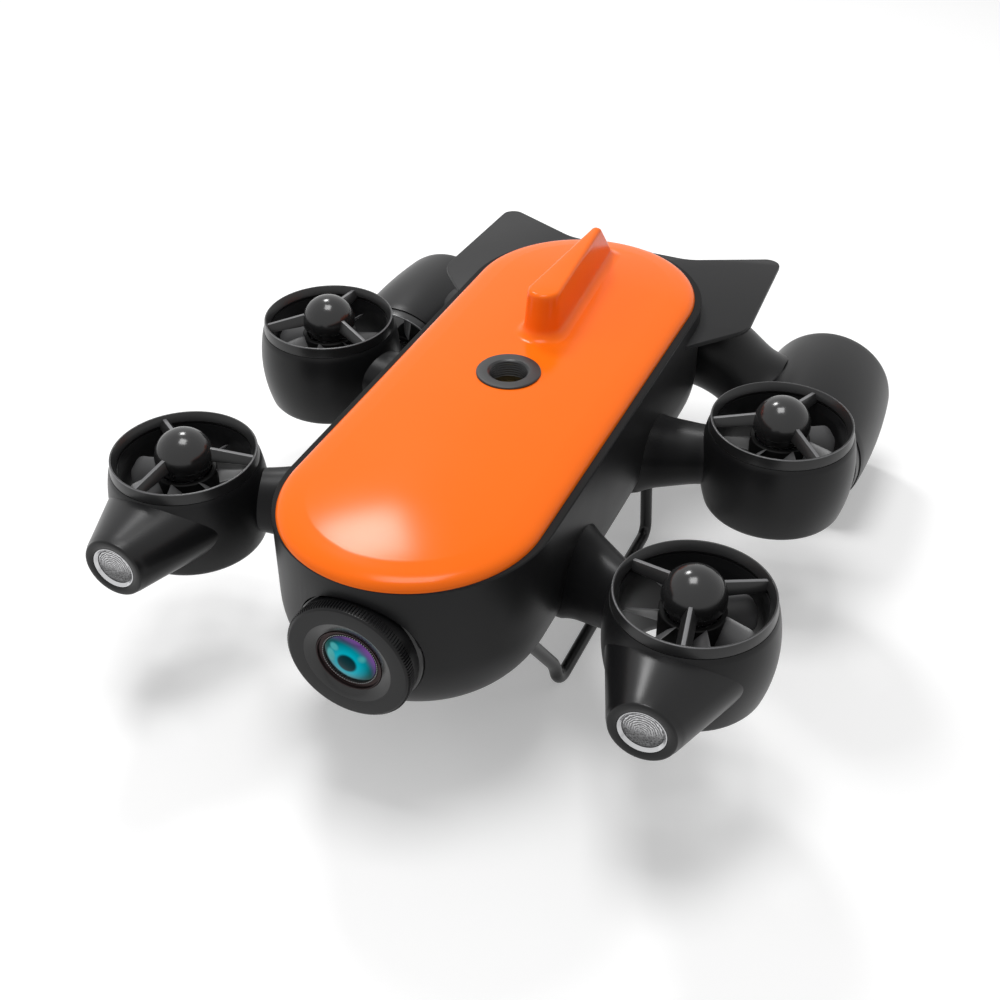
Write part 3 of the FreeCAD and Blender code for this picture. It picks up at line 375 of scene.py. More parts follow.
def joinMeshes(name, parts):    # parts are meshes that keep their own materials
    edit = bmesh.new()
    materials = []
    for part in parts:
        start = len(edit.faces)
        edit.from_mesh(part)
        edit.faces.ensure_lookup_table()
        materials += [material for material in part.materials if material not in materials]
        for face in edit.faces[start:]:
            face.material_index = materials.index(part.materials[face.material_index])
    mesh = bpy.data.meshes.new(name)
    edit.to_mesh(mesh)
    edit.free()
    for material in materials:
        mesh.materials.append(material)
    return mesh


def meshOf(vertices, faces, material, place=None):
    return meshFrom(finishMesh("part", vertices, faces, material, None, place))


def latheMesh(profile, segments, material, closed=True):    # profile in millimetres
    return meshOf(*lathe(scaled(profile), segments, closed), material)


def arc(steps, sweep=math.pi / 2, start=0.0):    # equal angles, both ends counted
    return [start + sweep * i / steps for i in range(steps + 1)]


def setInPlace(name, parts, place, body="vehicle", sharpAngle=34):
    mesh = joinMeshes(name, parts)
    mesh.transform(place)
    return finishPiece(name, mesh, None, body, sharpAngle)


def scaled(points):    # millimetres to metres, radii too
    return [tuple(value * mm for value in point) for point in points]


# ---- hull
hullSizes = {"bilge": 47.9, "bilgeSteps": 24, "topRound": 0.9, "flange": 10.4, "flangeDepth": 5.0,
             "flangeRound": 0.6, "ledgeDepth": 3.0, "sideSteps": 26, "endSteps": 56,
             "windowBore": 31.8, "boreSetBack": 20.0, "boreFrom": -40.0, "boreTo": 80.0}


def stadiumRing(radius, noseY, tailY, height, endSteps, sideSteps):
    points = []
    for centreY, start, nextY in ((tailY, 0, noseY), (noseY, math.pi, tailY)):
        points += [(radius * math.cos(a), centreY + radius * math.sin(a), height)
                   for a in arc(endSteps, math.pi, start)]
        sideX, fromY, _ = points[-1]
        points += [(sideX, fromY + (nextY - fromY) * i / sideSteps, height) for i in range(1, sideSteps)]
    return points


def makeHull():
    s = hullSizes
    inner, outer = hullRadius - s["flange"] * mm, hullRadius
    bilge = s["bilge"] * mm
    profile = roundedCorners([(inner, seamZ - s["flangeDepth"] * mm), (inner, seamZ, s["flangeRound"] * mm),
                              (outer, seamZ, s["topRound"] * mm), (outer, hullLow.z + bilge + 1 * mm)])[:-1]
    profile += [Vector((outer - bilge + bilge * math.cos(a), hullLow.z + bilge - bilge * math.sin(a)))
                for a in arc(s["bilgeSteps"])]
    rings = [stadiumRing(r, hullNoseY, hullTailY, z, s["endSteps"], s["sideSteps"]) for r, z in profile]
    place = Matrix.Translation((0, hullNoseY - s["boreSetBack"] * mm, windowMiddle.z)) @ quarterTurn
    mesh = cutMesh(*loftRings(rings), hullBlack, plug(s["windowBore"], s["boreFrom"], s["boreTo"], 64, place))
    ledge = seamZ - s["ledgeDepth"] * mm
    paintFaces(mesh, sealRubber, lambda face: face.normal.z > 0.5 and face.center.z > ledge)
    piece = finishPiece("hullTub", mesh, None, "vehicle")
    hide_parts("hull_shell")


makeHull()
print("hull made")


# ---- cover and fin
coverSizes = {"shoulderWidth": 14.0, "edgeRise": 4.6, "shoulderRun": 8.0, "crown": 8.9, "crownRadius": 480.0,
              "edgeDirection": (-0.14, 0.99), "shoulderDirection": (0.985, -0.17), "curveSteps": 20,
              "rim": 0.6, "sunk": 0.02, "endSteps": 64, "sideSteps": 30, "portHole": 13.1, "holeReach": 20.0}
finSizes = {"front": 25.3, "back": 113.0, "wide": 8.9, "narrow": 2.6, "frontRake": 4.0, "backRake": 22.0,
            "draft": 1.0, "fillet": 5.0, "topRound": 2.0, "steps": 20, "flankSteps": 12, "filletSteps": 8,
            "wallSteps": 8, "topSteps": 5}


def crownHeight(distance):    # height of the cover at a distance from its spine
    radius = coverSizes["crownRadius"] * mm
    return seamZ + coverSizes["crown"] * mm - radius + math.sqrt(radius ** 2 - distance ** 2)


def spineDistance(x, y):
    return math.hypot(x, y - min(max(y, coverNoseY), coverTailY))


def shoulderCurve():    # from the seam, nearly upright, over to the shoulder line
    s = coverSizes
    reach = coverRadius - s["shoulderWidth"] * mm
    first, last = Vector((coverRadius, seamZ)), Vector((reach, crownHeight(reach)))
    rise = first + Vector(s["edgeDirection"]) * s["edgeRise"] * mm
    run = last + Vector(s["shoulderDirection"]) * s["shoulderRun"] * mm
    return [first * (1 - t) ** 3 + rise * 3 * t * (1 - t) ** 2 + run * 3 * t ** 2 * (1 - t) + last * t ** 3
            for t in arc(s["curveSteps"], 1)]


def coverHeight(distance):
    curve = shoulderCurve()
    if distance <= curve[-1].x:
        return crownHeight(distance)
    outer, inner = next((pair for pair in zip(curve, curve[1:]) if pair[1].x <= distance), curve[:2])
    share = (distance - inner.x) / (outer.x - inner.x)
    return inner.y + (outer.y - inner.y) * min(share, 1)


def coverProfile():
    s = coverSizes
    points = [Vector((coverRadius - s["rim"] * mm, seamZ + s["sunk"] * mm))] + shoulderCurve()
    reach = points[-1].x
    for k in (0.3, 1, 2, 3, 4.5, *range(6, 25, 2)):    # closer together near the shoulder
        r = reach * (1 - k / 24)
        points.append(Vector((max(r, 0.01 * mm), crownHeight(r))))
    return points


def finRing(share, grow, height):    # share 0 lies on the cover, 1 in the fin's flat top
    s = finSizes
    lean, flank = 1 - share, s["flankSteps"]
    wide, narrow = (s["wide"] + s["draft"] * lean) * mm + grow, (s["narrow"] + s["draft"] * lean) * mm + grow
    front = (s["front"] - s["frontRake"] * lean) * mm - grow + wide
    back = (s["back"] + s["backRake"] * lean) * mm + grow - narrow
    points = [(narrow * math.cos(a), back + narrow * math.sin(a)) for a in arc(s["steps"], math.pi)]
    points += [(-narrow + (narrow - wide) * k / flank, back + (front - back) * k / flank)
               for k in range(1, flank)]
    points += [(wide * math.cos(a), front + wide * math.sin(a)) for a in arc(s["steps"], math.pi, math.pi)]
    points += [(wide + (narrow - wide) * k / flank, front + (back - front) * k / flank)
               for k in range(1, flank)]
    return [(x, y, (1 - share) * coverHeight(spineDistance(x, y)) + share * coverHigh.z + height)
            for x, y in points]


def makeFin():
    s = finSizes
    fillet, rounding = s["fillet"] * mm, s["topRound"] * mm
    tall = coverHigh.z - crownHeight(0)
    low, high, wall = fillet / tall, 1 - rounding / tall, s["wallSteps"]
    rings = [finRing(fillet * (1 - math.cos(a)) / tall, fillet * (1 - math.sin(a)), -coverSizes["sunk"] * mm)
             for a in arc(s["filletSteps"])]
    rings += [finRing(low + (high - low) * k / wall, 0, 0) for k in range(1, wall)]
    rings += [finRing(1 - rounding * (1 - math.sin(a)) / tall, -rounding * (1 - math.cos(a)), 0)
              for a in arc(s["topSteps"])]
    return meshOf(*loftRings(rings), coverOrange)


def makeCover():
    s = coverSizes
    rings = [stadiumRing(r, coverNoseY, coverTailY, z, s["endSteps"], s["sideSteps"])
             for r, z in coverProfile()]
    portPlace = Matrix.Translation(boxOf("port_ring")[2])
    hole = plug(s["portHole"], -s["holeReach"], s["holeReach"], 64, portPlace)
    shell = cutMesh(*loftRings(rings), coverOrange, hole)
    piece = finishPiece("topCover", joinMeshes("topCover", [shell, makeFin()]), None, "vehicle")
    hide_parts("top_cover")


makeCover()
print("cover made")


# ---- tail wing
wingSizes = {"rootX": 60.0, "rootY": 66.1, "shoulderX": 94.96, "shoulderY": 107.3, "tipX": 91.2,
             "cornerRound": 19.0, "tipRound": 7.0, "tipSteps": 12, "sweep": 23.8, "bayX": 39.0, "bayY": 174.3,
             "bayRound": 30.0, "cornerSteps": 10, "edge": 0.7, "middleY": 130.0}


def makeWing():
    s = wingSizes
    low, high, _ = boxOf("tail_wing")
    radius = s["tipRound"]
    tip = [(s["tipX"] - radius + radius * math.cos(a), high.y / mm - radius + radius * math.sin(a))
           for a in arc(s["tipSteps"], math.radians(90 + s["sweep"]))]
    right = [(s["rootX"], s["rootY"]), (s["shoulderX"], s["shoulderY"], s["cornerRound"]), *tip,
             (s["bayX"], s["bayY"], s["bayRound"])]
    left = [(-p[0], *p[1:]) for p in reversed(right)]
    points = roundedCorners(scaled(right + left), s["cornerSteps"])
    edge = s["edge"] * mm
    centre = Vector((0, s["middleY"] * mm))
    rings = []
    for inset, z in ((edge, low.z), (edge * 0.3, low.z + edge * 0.3), (0, low.z + edge), (0, high.z - edge),
                     (edge * 0.3, high.z - edge * 0.3), (edge, high.z)):
        rings.append([(*(p + (centre - p).normalized() * inset), z) for p in points])
    piece = finishMesh("tailWing", *loftRings(rings), wingBlack, "vehicle")
    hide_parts("tail_wing")


makeWing()
print("wing made")


# ---- thrusters
ductSizes = {
    "upright": {"crest": 40.7, "bulge": 80.0, "length": 51.8, "bore": 32.5},
    "level": {"crest": 40.5, "bulge": 390.0, "length": 86.8, "bore": 32.5},
    "lip": 1.2, "flare": 1.1, "steps": 28, "rim": 0.4,
}
guardSizes = {"ring": 37.0, "draft": 0.7, "lip": 0.9, "wall": 3.4, "slope": 4.5, "groove": 1.1, "height": 6.0,
              "dome": 15.1, "rise": 12.2, "undercut": 2.3, "stem": 12.6, "foot": 9.5, "vanes": 3,
              "ridgeHub": 3.0, "ridgeRing": -1.7, "depthHub": 6.2, "depthRing": 4.0, "ridge": 1.8,
              "base": 7.6}
propellerSizes = {"inside": 12.9, "shell": 15.5, "top": 10.2, "length": 21.0, "cone": 9.0, "blades": 7,
                  "tip": 31.3, "rootChord": 18.0, "tipChord": 16.5, "rootPitch": 58.0, "tipPitch": 44.0,
                  "thick": 1.8, "thinning": 0.45, "camber": 0.06, "roundFrom": 0.72, "middle": 7.4,
                  "shaft": 2.06, "shaftFloor": 25.7, "shaftEnd": 32.2, "restTurn": 35.6}


def barrelRadius(form, depth):
    s = ductSizes[form]
    return s["crest"] - s["bulge"] + math.sqrt(s["bulge"] ** 2 - (depth - s["length"] / 2) ** 2)


def makeDuct(station, form):
    s, shared = ductSizes[form], ductSizes
    top, end = guardSizes["height"], s["length"]
    outside = [(barrelRadius(form, d), -d) for d in arc(shared["steps"], end - top, top)]
    lip, rim = shared["lip"], shared["rim"]
    profile = [(s["bore"] + shared["flare"], -top), (outside[0][0] - rim, -top)]
    profile += [(r, z) for r, z in outside if z < -top - rim and z > -end + lip]
    profile += [(barrelRadius(form, end) - 0.25, -end + lip * 0.4), (barrelRadius(form, end) - lip, -end),
                (s["bore"] + shared["flare"] + 0.6, -end), (s["bore"] + shared["flare"], -end + 0.7),
                (s["bore"], -end + 5), (s["bore"], -top - 4.6), (s["bore"] + 0.2, -top - 4)]
    piece = finishMesh("duct_" + station + "_shell", *lathe(scaled(profile), 128), ductBlack, "vehicle",
                       standOf(station))
    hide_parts("duct_" + station)


def vaneSolid():    # one vane, drawn along X from the hub to the ring
    s = guardSizes
    rings = []
    for k in range(13):
        t = k / 12
        x = (s["dome"] - 3) + (s["ring"] - s["lip"] - 0.4 - s["dome"] + 3) * t
        top = s["ridgeHub"] + (s["ridgeRing"] - s["ridgeHub"]) * t
        depth = s["depthHub"] + (s["depthRing"] - s["depthHub"]) * t
        ridge, base = s["ridge"] / 2, s["base"] / 2
        section = roundedCorners([(-base, top - depth, 0.4), (base, top - depth, 0.4), (ridge, top, 0.3),
                                  (-ridge, top, 0.3)], 3)
        rings.append([(x * mm, u * mm, v * mm) for u, v in section])
    return loftRings(rings)


def makeGuard(station):
    s = guardSizes
    inner = s["ring"] - s["wall"]
    ring = roundedCorners([(inner + s["groove"], -s["height"], 0.2),
                           (s["ring"] + s["draft"], -s["height"], 0.4), (s["ring"], 0, 0.5),
                           (s["ring"] - s["lip"], 0, 0.3), (inner, -s["slope"], 0.35),
                           (inner + s["groove"], -s["slope"], 0.1)], 5)
    middle = s["rise"] - s["dome"]
    reach = math.acos(-s["undercut"] / s["dome"])
    dome = [(s["dome"] * math.sin(a), middle + s["dome"] * math.cos(a)) for a in arc(30, reach)]
    edge = dome.pop()
    dome += roundedCorners([dome[-1], (*edge, 0.9), (s["stem"], edge[1], 0.3), (s["stem"], -s["foot"]),
                            (0, -s["foot"])], 5)[1:]
    vanes = repeated(*vaneSolid(), s["vanes"], math.radians(guardTurns[station]), guardBlack)
    ridge = s["ridgeRing"] * mm * 1.4
    # painted highlight on the top faces of the vane ridges
    paintFaces(vanes, paintedEdgeHighlight, lambda face: face.normal.z > 0.8 and face.center.z > ridge)
    ringMesh = latheMesh(ring, 128, guardBlack)
    # painted highlight on the outer rounding of the ring's top edge
    paintFaces(ringMesh, paintedEdgeHighlight, lambda face: face.center.z > -0.4 * mm
               and face.normal.xy.dot(face.center.xy) > 0.4 * face.center.xy.length)
    parts = [ringMesh, latheMesh(dome, 64, domeGrey, closed=False), vanes]
    piece = setInPlace("guard_" + station + "_moulding", parts, standOf(station), sharpAngle=40)
    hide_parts("guard_" + station)


def bladeSolid(hand):    # one blade, drawn along X
    s = propellerSizes
    rings = []
    for k in range(13):
        t = k / 12
        x = s["shell"] - 0.8 + (s["tip"] - s["shell"] + 0.8) * t
        beyond = max(0, (t - s["roundFrom"]) / (1 - s["roundFrom"]))
        rounding = math.sqrt(max(0.04, 1 - beyond ** 2 * 0.96))    # the tip narrows to a fifth
        chord = (s["rootChord"] + (s["tipChord"] - s["rootChord"]) * t) * rounding
        pitch = math.radians(s["rootPitch"] + (s["tipPitch"] - s["rootPitch"]) * t) * hand
        thick = s["thick"] * (1 - s["thinning"] * t)
        section = []
        for a in circle(20):
            u = math.cos(a) * chord / 2
            camber = s["camber"] * chord * (1 - (2 * u / chord) ** 2)
            v = math.sin(a) * thick / 2 * (0.35 + 0.65 * abs(math.sin(a)) ** 0.3) + camber
            section.append((x * mm, (u * math.cos(pitch) - v * math.sin(pitch)) * mm,
                            (-(s["top"] + s["middle"]) + u * math.sin(pitch) + v * math.cos(pitch)) * mm))
        rings.append(section)
    return loftRings(rings)


def makePropeller(station):
    s = propellerSizes
    base = s["top"] + s["length"]
    cone = [(s["shell"] * math.cos(a), -base - s["cone"] * math.sin(a)) for a in arc(12)]
    profile = [(0.0, -s["shaftEnd"]), (s["shaft"], -s["shaftEnd"]), (s["shaft"], -s["shaftFloor"]),
               (s["inside"], -s["shaftFloor"]), (s["inside"], -s["top"] - 0.3),
               (s["inside"] + 0.3, -s["top"]), (s["shell"] - 0.5, -s["top"]),
               (s["shell"], -s["top"] - 0.5)] + cone
    hand = 1 if station.endswith("right") else -1
    parts = [latheMesh(profile, 72, rotorBlack, closed=False),
             repeated(*bladeSolid(hand), s["blades"], math.radians(s["restTurn"]), paintedLitBladeGrey)]
    piece = setInPlace("propeller_" + station + "_rotor", parts, standOf(station), "propeller_" + station, 40)
    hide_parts("propeller_" + station)


for station in guardTurns:
    makeDuct(station, "level" if station.startswith("tail") else "upright")
    makeGuard(station)
    makePropeller(station)
print("thrusters made")


# ---- arms
armSizes = {
    "front": {"root": (66.0, -79.65, 80.2, 23.8), "tip": (98.0, -102.85, 89.9, 16.4)},
    "rear": {"root": (66.0, 30.15, 80.2, 21.1), "tip": (98.0, 26.05, 89.9, 15.8)},
    "rootFlare": 1.8, "tipFlare": 0.6, "steps": 30, "beyond": 0.26, "rootX": 64.0, "tipX": 99.0,
    "rootReach": 11.0, "tipReach": 9.0, "seat": 2.5, "cutReach": 10.0,
}
tailArmSizes = {"stations": ((40.0, 84.7, 24.0), (66.0, 81.7, 25.0), (82.4, 72.6, 26.0), (98.4, 54.6, 31.0),
                             (110.65, 49.6, 32.0)), "y": 146.15, "steps": 36, "capReach": 22.0, "capSteps": 8}


def armRing(x, y, z, radius, side, count=56):
    return [(side * x * mm, (y + radius * math.cos(a)) * mm, (z + radius * math.sin(a)) * mm)
            for a in (2 * math.pi * i / count for i in range(count))]


def makeArm(end, side, sideName):
    s, shared = armSizes[end], armSizes
    root, tip = s["root"], s["tip"]
    rings = []
    for k in range(shared["steps"] + 1):
        share = (1 + 2 * shared["beyond"]) * k / shared["steps"] - shared["beyond"]
        x, y, z, radius = (a + (b - a) * share for a, b in zip(root, tip))
        atHull = max(0, 1 - max(0, x - shared["rootX"]) / shared["rootReach"]) ** 2
        atDuct = max(0, 1 - max(0, shared["tipX"] - x) / shared["tipReach"]) ** 2
        radius += shared["rootFlare"] * atHull + shared["tipFlare"] * atDuct
        rings.append(armRing(x, y, z, radius, side))
    station = f"{end}_{sideName}"
    trimToDuct(f"arm_{station}_tube", rings, hullBlack, station, "upright", "arm_" + station)


def makeTailArm(side, sideName):
    s = tailArmSizes
    stations = s["stations"]
    rings = []
    x, z, radius = stations[0]
    for k in range(s["capSteps"]):    # rounded end that sinks into the hull's tail
        a = math.pi / 2 * (1 - (k + 0.5) / (s["capSteps"] + 0.5))
        shrunk = radius * math.cos(a)
        y = s["y"] - (radius - shrunk) / 2
        rings.append(armRing(x - s["capReach"] * math.sin(a), y, z, shrunk, side))
    for k in range(s["steps"] + 1):
        t = k / s["steps"] * (len(stations) - 1)
        i = min(int(t), len(stations) - 2)
        f = t - i
        around = [stations[max(0, min(j, len(stations) - 1))] for j in (i - 1, i, i + 1, i + 2)]
        x, z, radius = (0.5 * (2 * b + (c - a) * f + (2 * a - 5 * b + 4 * c - d) * f ** 2
                               + (3 * b - a - 3 * c + d) * f ** 3) for a, b, c, d in zip(*around))
        rings.append(armRing(x, s["y"], z, radius, side))
    station = "tail_" + sideName
    trimToDuct(f"arm_{station}_tube", rings, hullBlack, station, "level", "arm_" + station)


def trimToDuct(name, rings, material, station, form, node):    # ends in the duct's wall, clear of its bore
    shared, duct = armSizes, ductSizes[form]
    bore = plug(duct["bore"] + shared["seat"], shared["cutReach"], -duct["length"] - shared["cutReach"], 96,
                standOf(station))
    mesh = cutMesh(*loftRings(rings), material, bore)
    piece = finishPiece(name, mesh, material, "vehicle", 60)
    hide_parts(node)


for side, sideName in ((1, "right"), (-1, "left")):
    makeArm("front", side, sideName)
    makeArm("rear", side, sideName)
    makeTailArm(side, sideName)
print("arms made")


# ---- lamps
lampSizes = {"radius": 16.1, "bore": 11.4, "boreDepth": 14.0, "length": 52.0, "spread": 0.384, "lift": 0.108,
             "rim": 1.2, "rimSteps": 5, "coneSteps": 24, "metalRing": 11.3, "metalInner": 9.5, "recess": 0.4,
             "cupTop": -3.0, "cupFoot": -13.8, "cupFloor": -12.0, "cupHole": 3.0, "lensRim": 1.8,
             "lensRise": 1.5, "lensFoot": -4.0, "lensGap": 0.15, "dimple": 0.35}


def makeLampGlass(name, middle):    # prismatic lens: rings of small prisms, with the upper half painted brighter, a painted reflection of the light from above
    material, shader = newMaterial(name, Roughness=0.28, Metallic=0.6)
    tree = material.node_tree
    place = addNode(tree, "ShaderNodeTexCoord")
    centred = addNode(tree, "ShaderNodeVectorMath", {1: middle}, operation="SUBTRACT")
    rings = addNode(tree, "ShaderNodeTexWave", {
        "Scale": 300, "Distortion": 4.5, "Detail": 3, "Detail Scale": 2},
        wave_type="RINGS", rings_direction="SPHERICAL")
    cells = addNode(tree, "ShaderNodeTexVoronoi", {"Scale": 1000})
    axes = addNode(tree, "ShaderNodeSeparateXYZ")
    # painted light: rises towards the top of the lens, so the upper half is painted brighter
    paintedLightMask = addNode(tree, "ShaderNodeMapRange", {"From Min": -3 * mm, "From Max": 4.5 * mm},
                    interpolation_type="SMOOTHSTEP")
    pattern = addNode(tree, "ShaderNodeMix")
    # painted shade in the lower half's tones, painted reflection in the upper half's
    paintedShadedHalf, paintedLitHalf = (
        addNode(tree, "ShaderNodeMix", {6: (dark, dark, dark, 1), 7: (light, light, light * 1.02, 1)},
                data_type="RGBA") for dark, light in ((0.01, 0.22), (0.12, 0.85)))
    shade = addNode(tree, "ShaderNodeMix", data_type="RGBA")
    bump = addNode(tree, "ShaderNodeBump", {"Distance": 0.6 * mm, "Strength": 0.7})
    linkAll(tree, (place, "Object", centred, 0),
            (centred, 0, rings, "Vector"),
            (centred, 0, cells, "Vector"),
            (centred, 0, axes, 0),
            (axes, "Z", paintedLightMask, "Value"),
            (paintedLightMask, 0, pattern, "Factor"),
            (cells, "Distance", pattern, "A"),
            (rings, "Fac", pattern, "B"),
            (pattern, "Result", paintedShadedHalf, 0),
            (pattern, "Result", paintedLitHalf, 0),
            (paintedLightMask, 0, shade, 0),
            (paintedShadedHalf, 2, shade, 6),
            (paintedLitHalf, 2, shade, 7),
            (pattern, "Result", bump, "Height"),
            (shade, 2, shader, "Base Color"),
            (bump, "Normal", shader, "Normal"))
    return material


def makeLamp(sideName):
    s = lampSizes
    faceY = boxOf("lamp_housing_" + sideName)[0].y
    centre = boxOf("lamp_reflector_" + sideName)[2]
    place = Matrix.Translation((centre.x, faceY, centre.z)) @ quarterTurn

    def oval(wide, tall, depth, count=96):
        return [(centre.x + wide * mm * math.cos(a), faceY + depth * mm, centre.z + tall * mm * math.sin(a))
                for a in circle(count)]

    rings = [oval(r, r, d)
             for r, d in ((s["bore"], s["boreDepth"]), (s["bore"], 0.5), (s["bore"] + 0.4, 0.0))]
    for a in arc(s["rimSteps"]):
        r = s["radius"] - s["rim"] * (1 - math.sin(a))
        rings.append(oval(r, r, s["rim"] * (1 - math.cos(a))))
    for d in arc(s["coneSteps"], s["length"] - s["rim"], s["rim"])[1:]:
        rings.append(oval(s["radius"] + s["spread"] * d, s["radius"] + s["lift"] * d, d))
    trimToDuct("lampHousing_" + sideName, rings, lampBlack, "front_" + sideName, "upright",
               "lamp_housing_" + sideName)

    ring = roundedCorners([(s["metalInner"], s["cupTop"]), (s["metalRing"], s["cupTop"]),
                           (s["metalRing"], -s["recess"], 0.2), (s["metalRing"] - 0.5, -s["recess"], 0.3),
                           (s["metalInner"], -s["lensRim"] + 0.2, 0.3)], 5)
    cup = [(s["metalRing"], s["cupTop"]), (s["metalRing"], s["cupFoot"]), (s["cupHole"], s["cupFoot"]),
           (s["cupHole"], s["cupFloor"]), (s["metalInner"], s["cupTop"])]
    parts = [latheMesh(ring, 96, lampRing), latheMesh(cup, 96, brightRing)]
    piece = setInPlace("lampReflector_" + sideName, parts, place)
    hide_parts("lamp_reflector_" + sideName)

    reach, top = s["metalInner"] - s["lensGap"], s["lensRise"] - s["lensRim"]
    lens = [(0.0, s["lensFoot"]), (reach, s["lensFoot"])]
    lens += [(reach * (1 - t), -s["lensRim"] + s["lensRise"] * (1 - (1 - t) ** 2)) for t in arc(20, 1)[:-1]]
    lens += [(0.0, top - s["dimple"])]
    glass = makeLampGlass("lampGlass_" + sideName, Vector((centre.x, faceY - top * mm, centre.z)))
    mesh = meshOf(*lathe(scaled(lens), 96, closed=False), glass, place)
    piece = finishPiece("lampLens_" + sideName, mesh, glass, "vehicle")
    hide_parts("lamp_lens_" + sideName)


for sideName in ("right", "left"):
    makeLamp(sideName)
print("lamps made")


# ---- camera window
windowSizes = {"ring": 31.15, "depth": 11.5, "bore": 16.6, "dish": 22.0, "dishDepth": 1.8, "teeth": 126,
               "toothDepth": 0.75, "toothFrom": 1.0, "toothTo": 6.2, "collar": 31.5, "collarLength": 31.5,
               "seat": 26.1, "seatDepth": 4.0, "bezel": 16.5, "lip": 13.3, "beads": 72, "beadRound": 0.36,
               "beadCircle": 0.45, "beadDepth": 2.9, "lens": 13.1, "lensRise": 3.2, "lensRim": 2.9,
               "lensFoot": 6.0, "pupil": 4.7}
cameraBlockSizes = {"top": 6.6, "neck": 13.6, "shoulder": 8.6, "barrel": 16.8, "length": 44.0,
                    "half": 15.0, "corner": 1.5, "blockTop": 44.4, "blockEnd": 66.4}
# the violet and glint tints are painted reflections on the lens
lensTints = {"pupil": (0.0, 0.022, 0.028), "inner": (0.0, 0.30, 0.38), "middle": (0.0, 0.20, 0.25),
             "outer": (0.0, 0.075, 0.08), "rim": (0.001, 0.05, 0.045), "paintedViolet": (0.15, 0.06, 0.25),
             "paintedGlint": (0.05, 0.30, 0.31)}


def radialMask(tree, low, high, offset=(0, 0), stretch=(1, 1)):    # 1 inside low, 0 outside high, in mm
    place = addNode(tree, "ShaderNodeTexCoord")
    centre = addNode(tree, "ShaderNodeMapping", {
        "Scale": (stretch[0] / mm, 0, stretch[1] / mm),
        "Location": (-offset[0] * stretch[0], 0, -(windowMiddle.z / mm + offset[1]) * stretch[1])})
    length = addNode(tree, "ShaderNodeVectorMath", operation="LENGTH")
    mask = addNode(tree, "ShaderNodeMapRange", {"From Min": high, "From Max": low},
                   interpolation_type="SMOOTHSTEP")
    linkAll(tree, (place, "Object", centre, "Vector"),
            (centre, "Vector", length, 0),
            (length, "Value", mask, "Value"))
    return mask


def makeCoatedLens():    # coated front element: dark pupil, blue-green ring, a painted violet reflection on one side of the rim and painted glints
    material, shader = newMaterial("coatedLens", Roughness=0.12, Metallic=1.0)
    tree = material.node_tree
    lens, pupil = windowSizes["lens"], windowSizes["pupil"]
    outside = addNode(tree, "ShaderNodeMath", {0: 1}, operation="SUBTRACT")    # painted violet reflection: the outside of a circle set off centre
    linkAll(tree, (radialMask(tree, 13.4, 18.6, (-3.4, -4.2)), 0, outside, 1))
    layers = (("outer", radialMask(tree, lens * 0.84, lens)),
              ("middle", radialMask(tree, lens * 0.62, lens * 0.9)),
              ("inner", radialMask(tree, pupil * 1.15, lens * 0.7)),
              ("paintedViolet", outside),
              ("pupil", radialMask(tree, pupil * 0.85, pupil * 1.2)),
              # painted glints: small pale patches standing in for reflections of bright lights
              ("paintedGlint", radialMask(tree, 1.6, 3.2, (-8.4, 1.6), (1.1, 0.7))),
              ("paintedGlint", radialMask(tree, 1.2, 2.8, (-6.6, 6.8), (0.9, 1.2))),
              ("paintedGlint", radialMask(tree, 0.4, 2.6, (7.4, 4.2))))
    below = None
    for name, mask in layers:    # each tint lies over the ones before it
        mix = addNode(tree, "ShaderNodeMix", {6: (*lensTints["rim"], 1), 7: (*lensTints[name], 1)},
                      data_type="RGBA")
        linkAll(tree, (mask, 0, mix, 0))
        if below:
            linkAll(tree, (below, 2, mix, 6))
        below = mix
    linkAll(tree, (below, 2, shader, "Base Color"))
    return material


coatedLens = makeCoatedLens()


def makeWindowRing(place):
    s = windowSizes
    root, inside = s["ring"] - s["toothDepth"], s["seatDepth"] - s["depth"]
    ring = roundedCorners([(s["bore"], inside), (s["seat"], inside), (s["seat"], -s["depth"]),
                           (root, -s["depth"], 0.5), (root, -s["toothFrom"]), (s["ring"] - 0.9, -0.5, 0.5),
                           (s["ring"] - 1.7, 0, 0.4), (s["dish"], 0, 0.2)], 4)
    dish = [(s["dish"], 0.0), (s["bore"] + 0.3, -s["dishDepth"] + 0.1), (s["bore"], -s["dishDepth"] - 0.2),
            (s["bore"], inside)]
    tooth = []
    width = 2 * math.pi * s["ring"] / s["teeth"]
    for depth, rise in ((s["toothFrom"] - 0.3, 0.0), (s["toothFrom"] + 0.3, 1.0), (s["toothTo"] - 0.8, 1.0),
                        (s["toothTo"], 0.0)):
        inner, outer = root - 0.3, root + 0.05 + (s["ring"] - root - 0.05) * rise
        tooth.append(scaled([(inner, -width * 0.34, -depth), (outer, -width * 0.17, -depth),
                             (outer, width * 0.17, -depth), (inner, width * 0.34, -depth)]))
    parts = [latheMesh(ring, 180, ringBlack, closed=False), latheMesh(dish, 180, dishBlack, closed=False),
             repeated(*loftRings(tooth), s["teeth"], 0.0, ringBlack)]
    piece = setInPlace("windowRing", parts, place)
    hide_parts("lens_ring")


def makeWindowCollar(place):
    s = windowSizes
    top, foot = -s["depth"] - 0.1, -s["depth"] - s["collarLength"]
    collar = roundedCorners([(s["bore"], foot), (s["collar"], foot), (s["collar"], top, 1.8),
                             (s["seat"] - 0.1, top), (s["seat"] - 0.1, s["seatDepth"] - s["depth"] - 0.2),
                             (s["bore"], s["seatDepth"] - s["depth"] - 0.2)], 6)
    piece = finishMesh("windowCollar", *lathe(scaled(collar), 128), dishBlack, "vehicle", place)
    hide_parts("lens_collar")


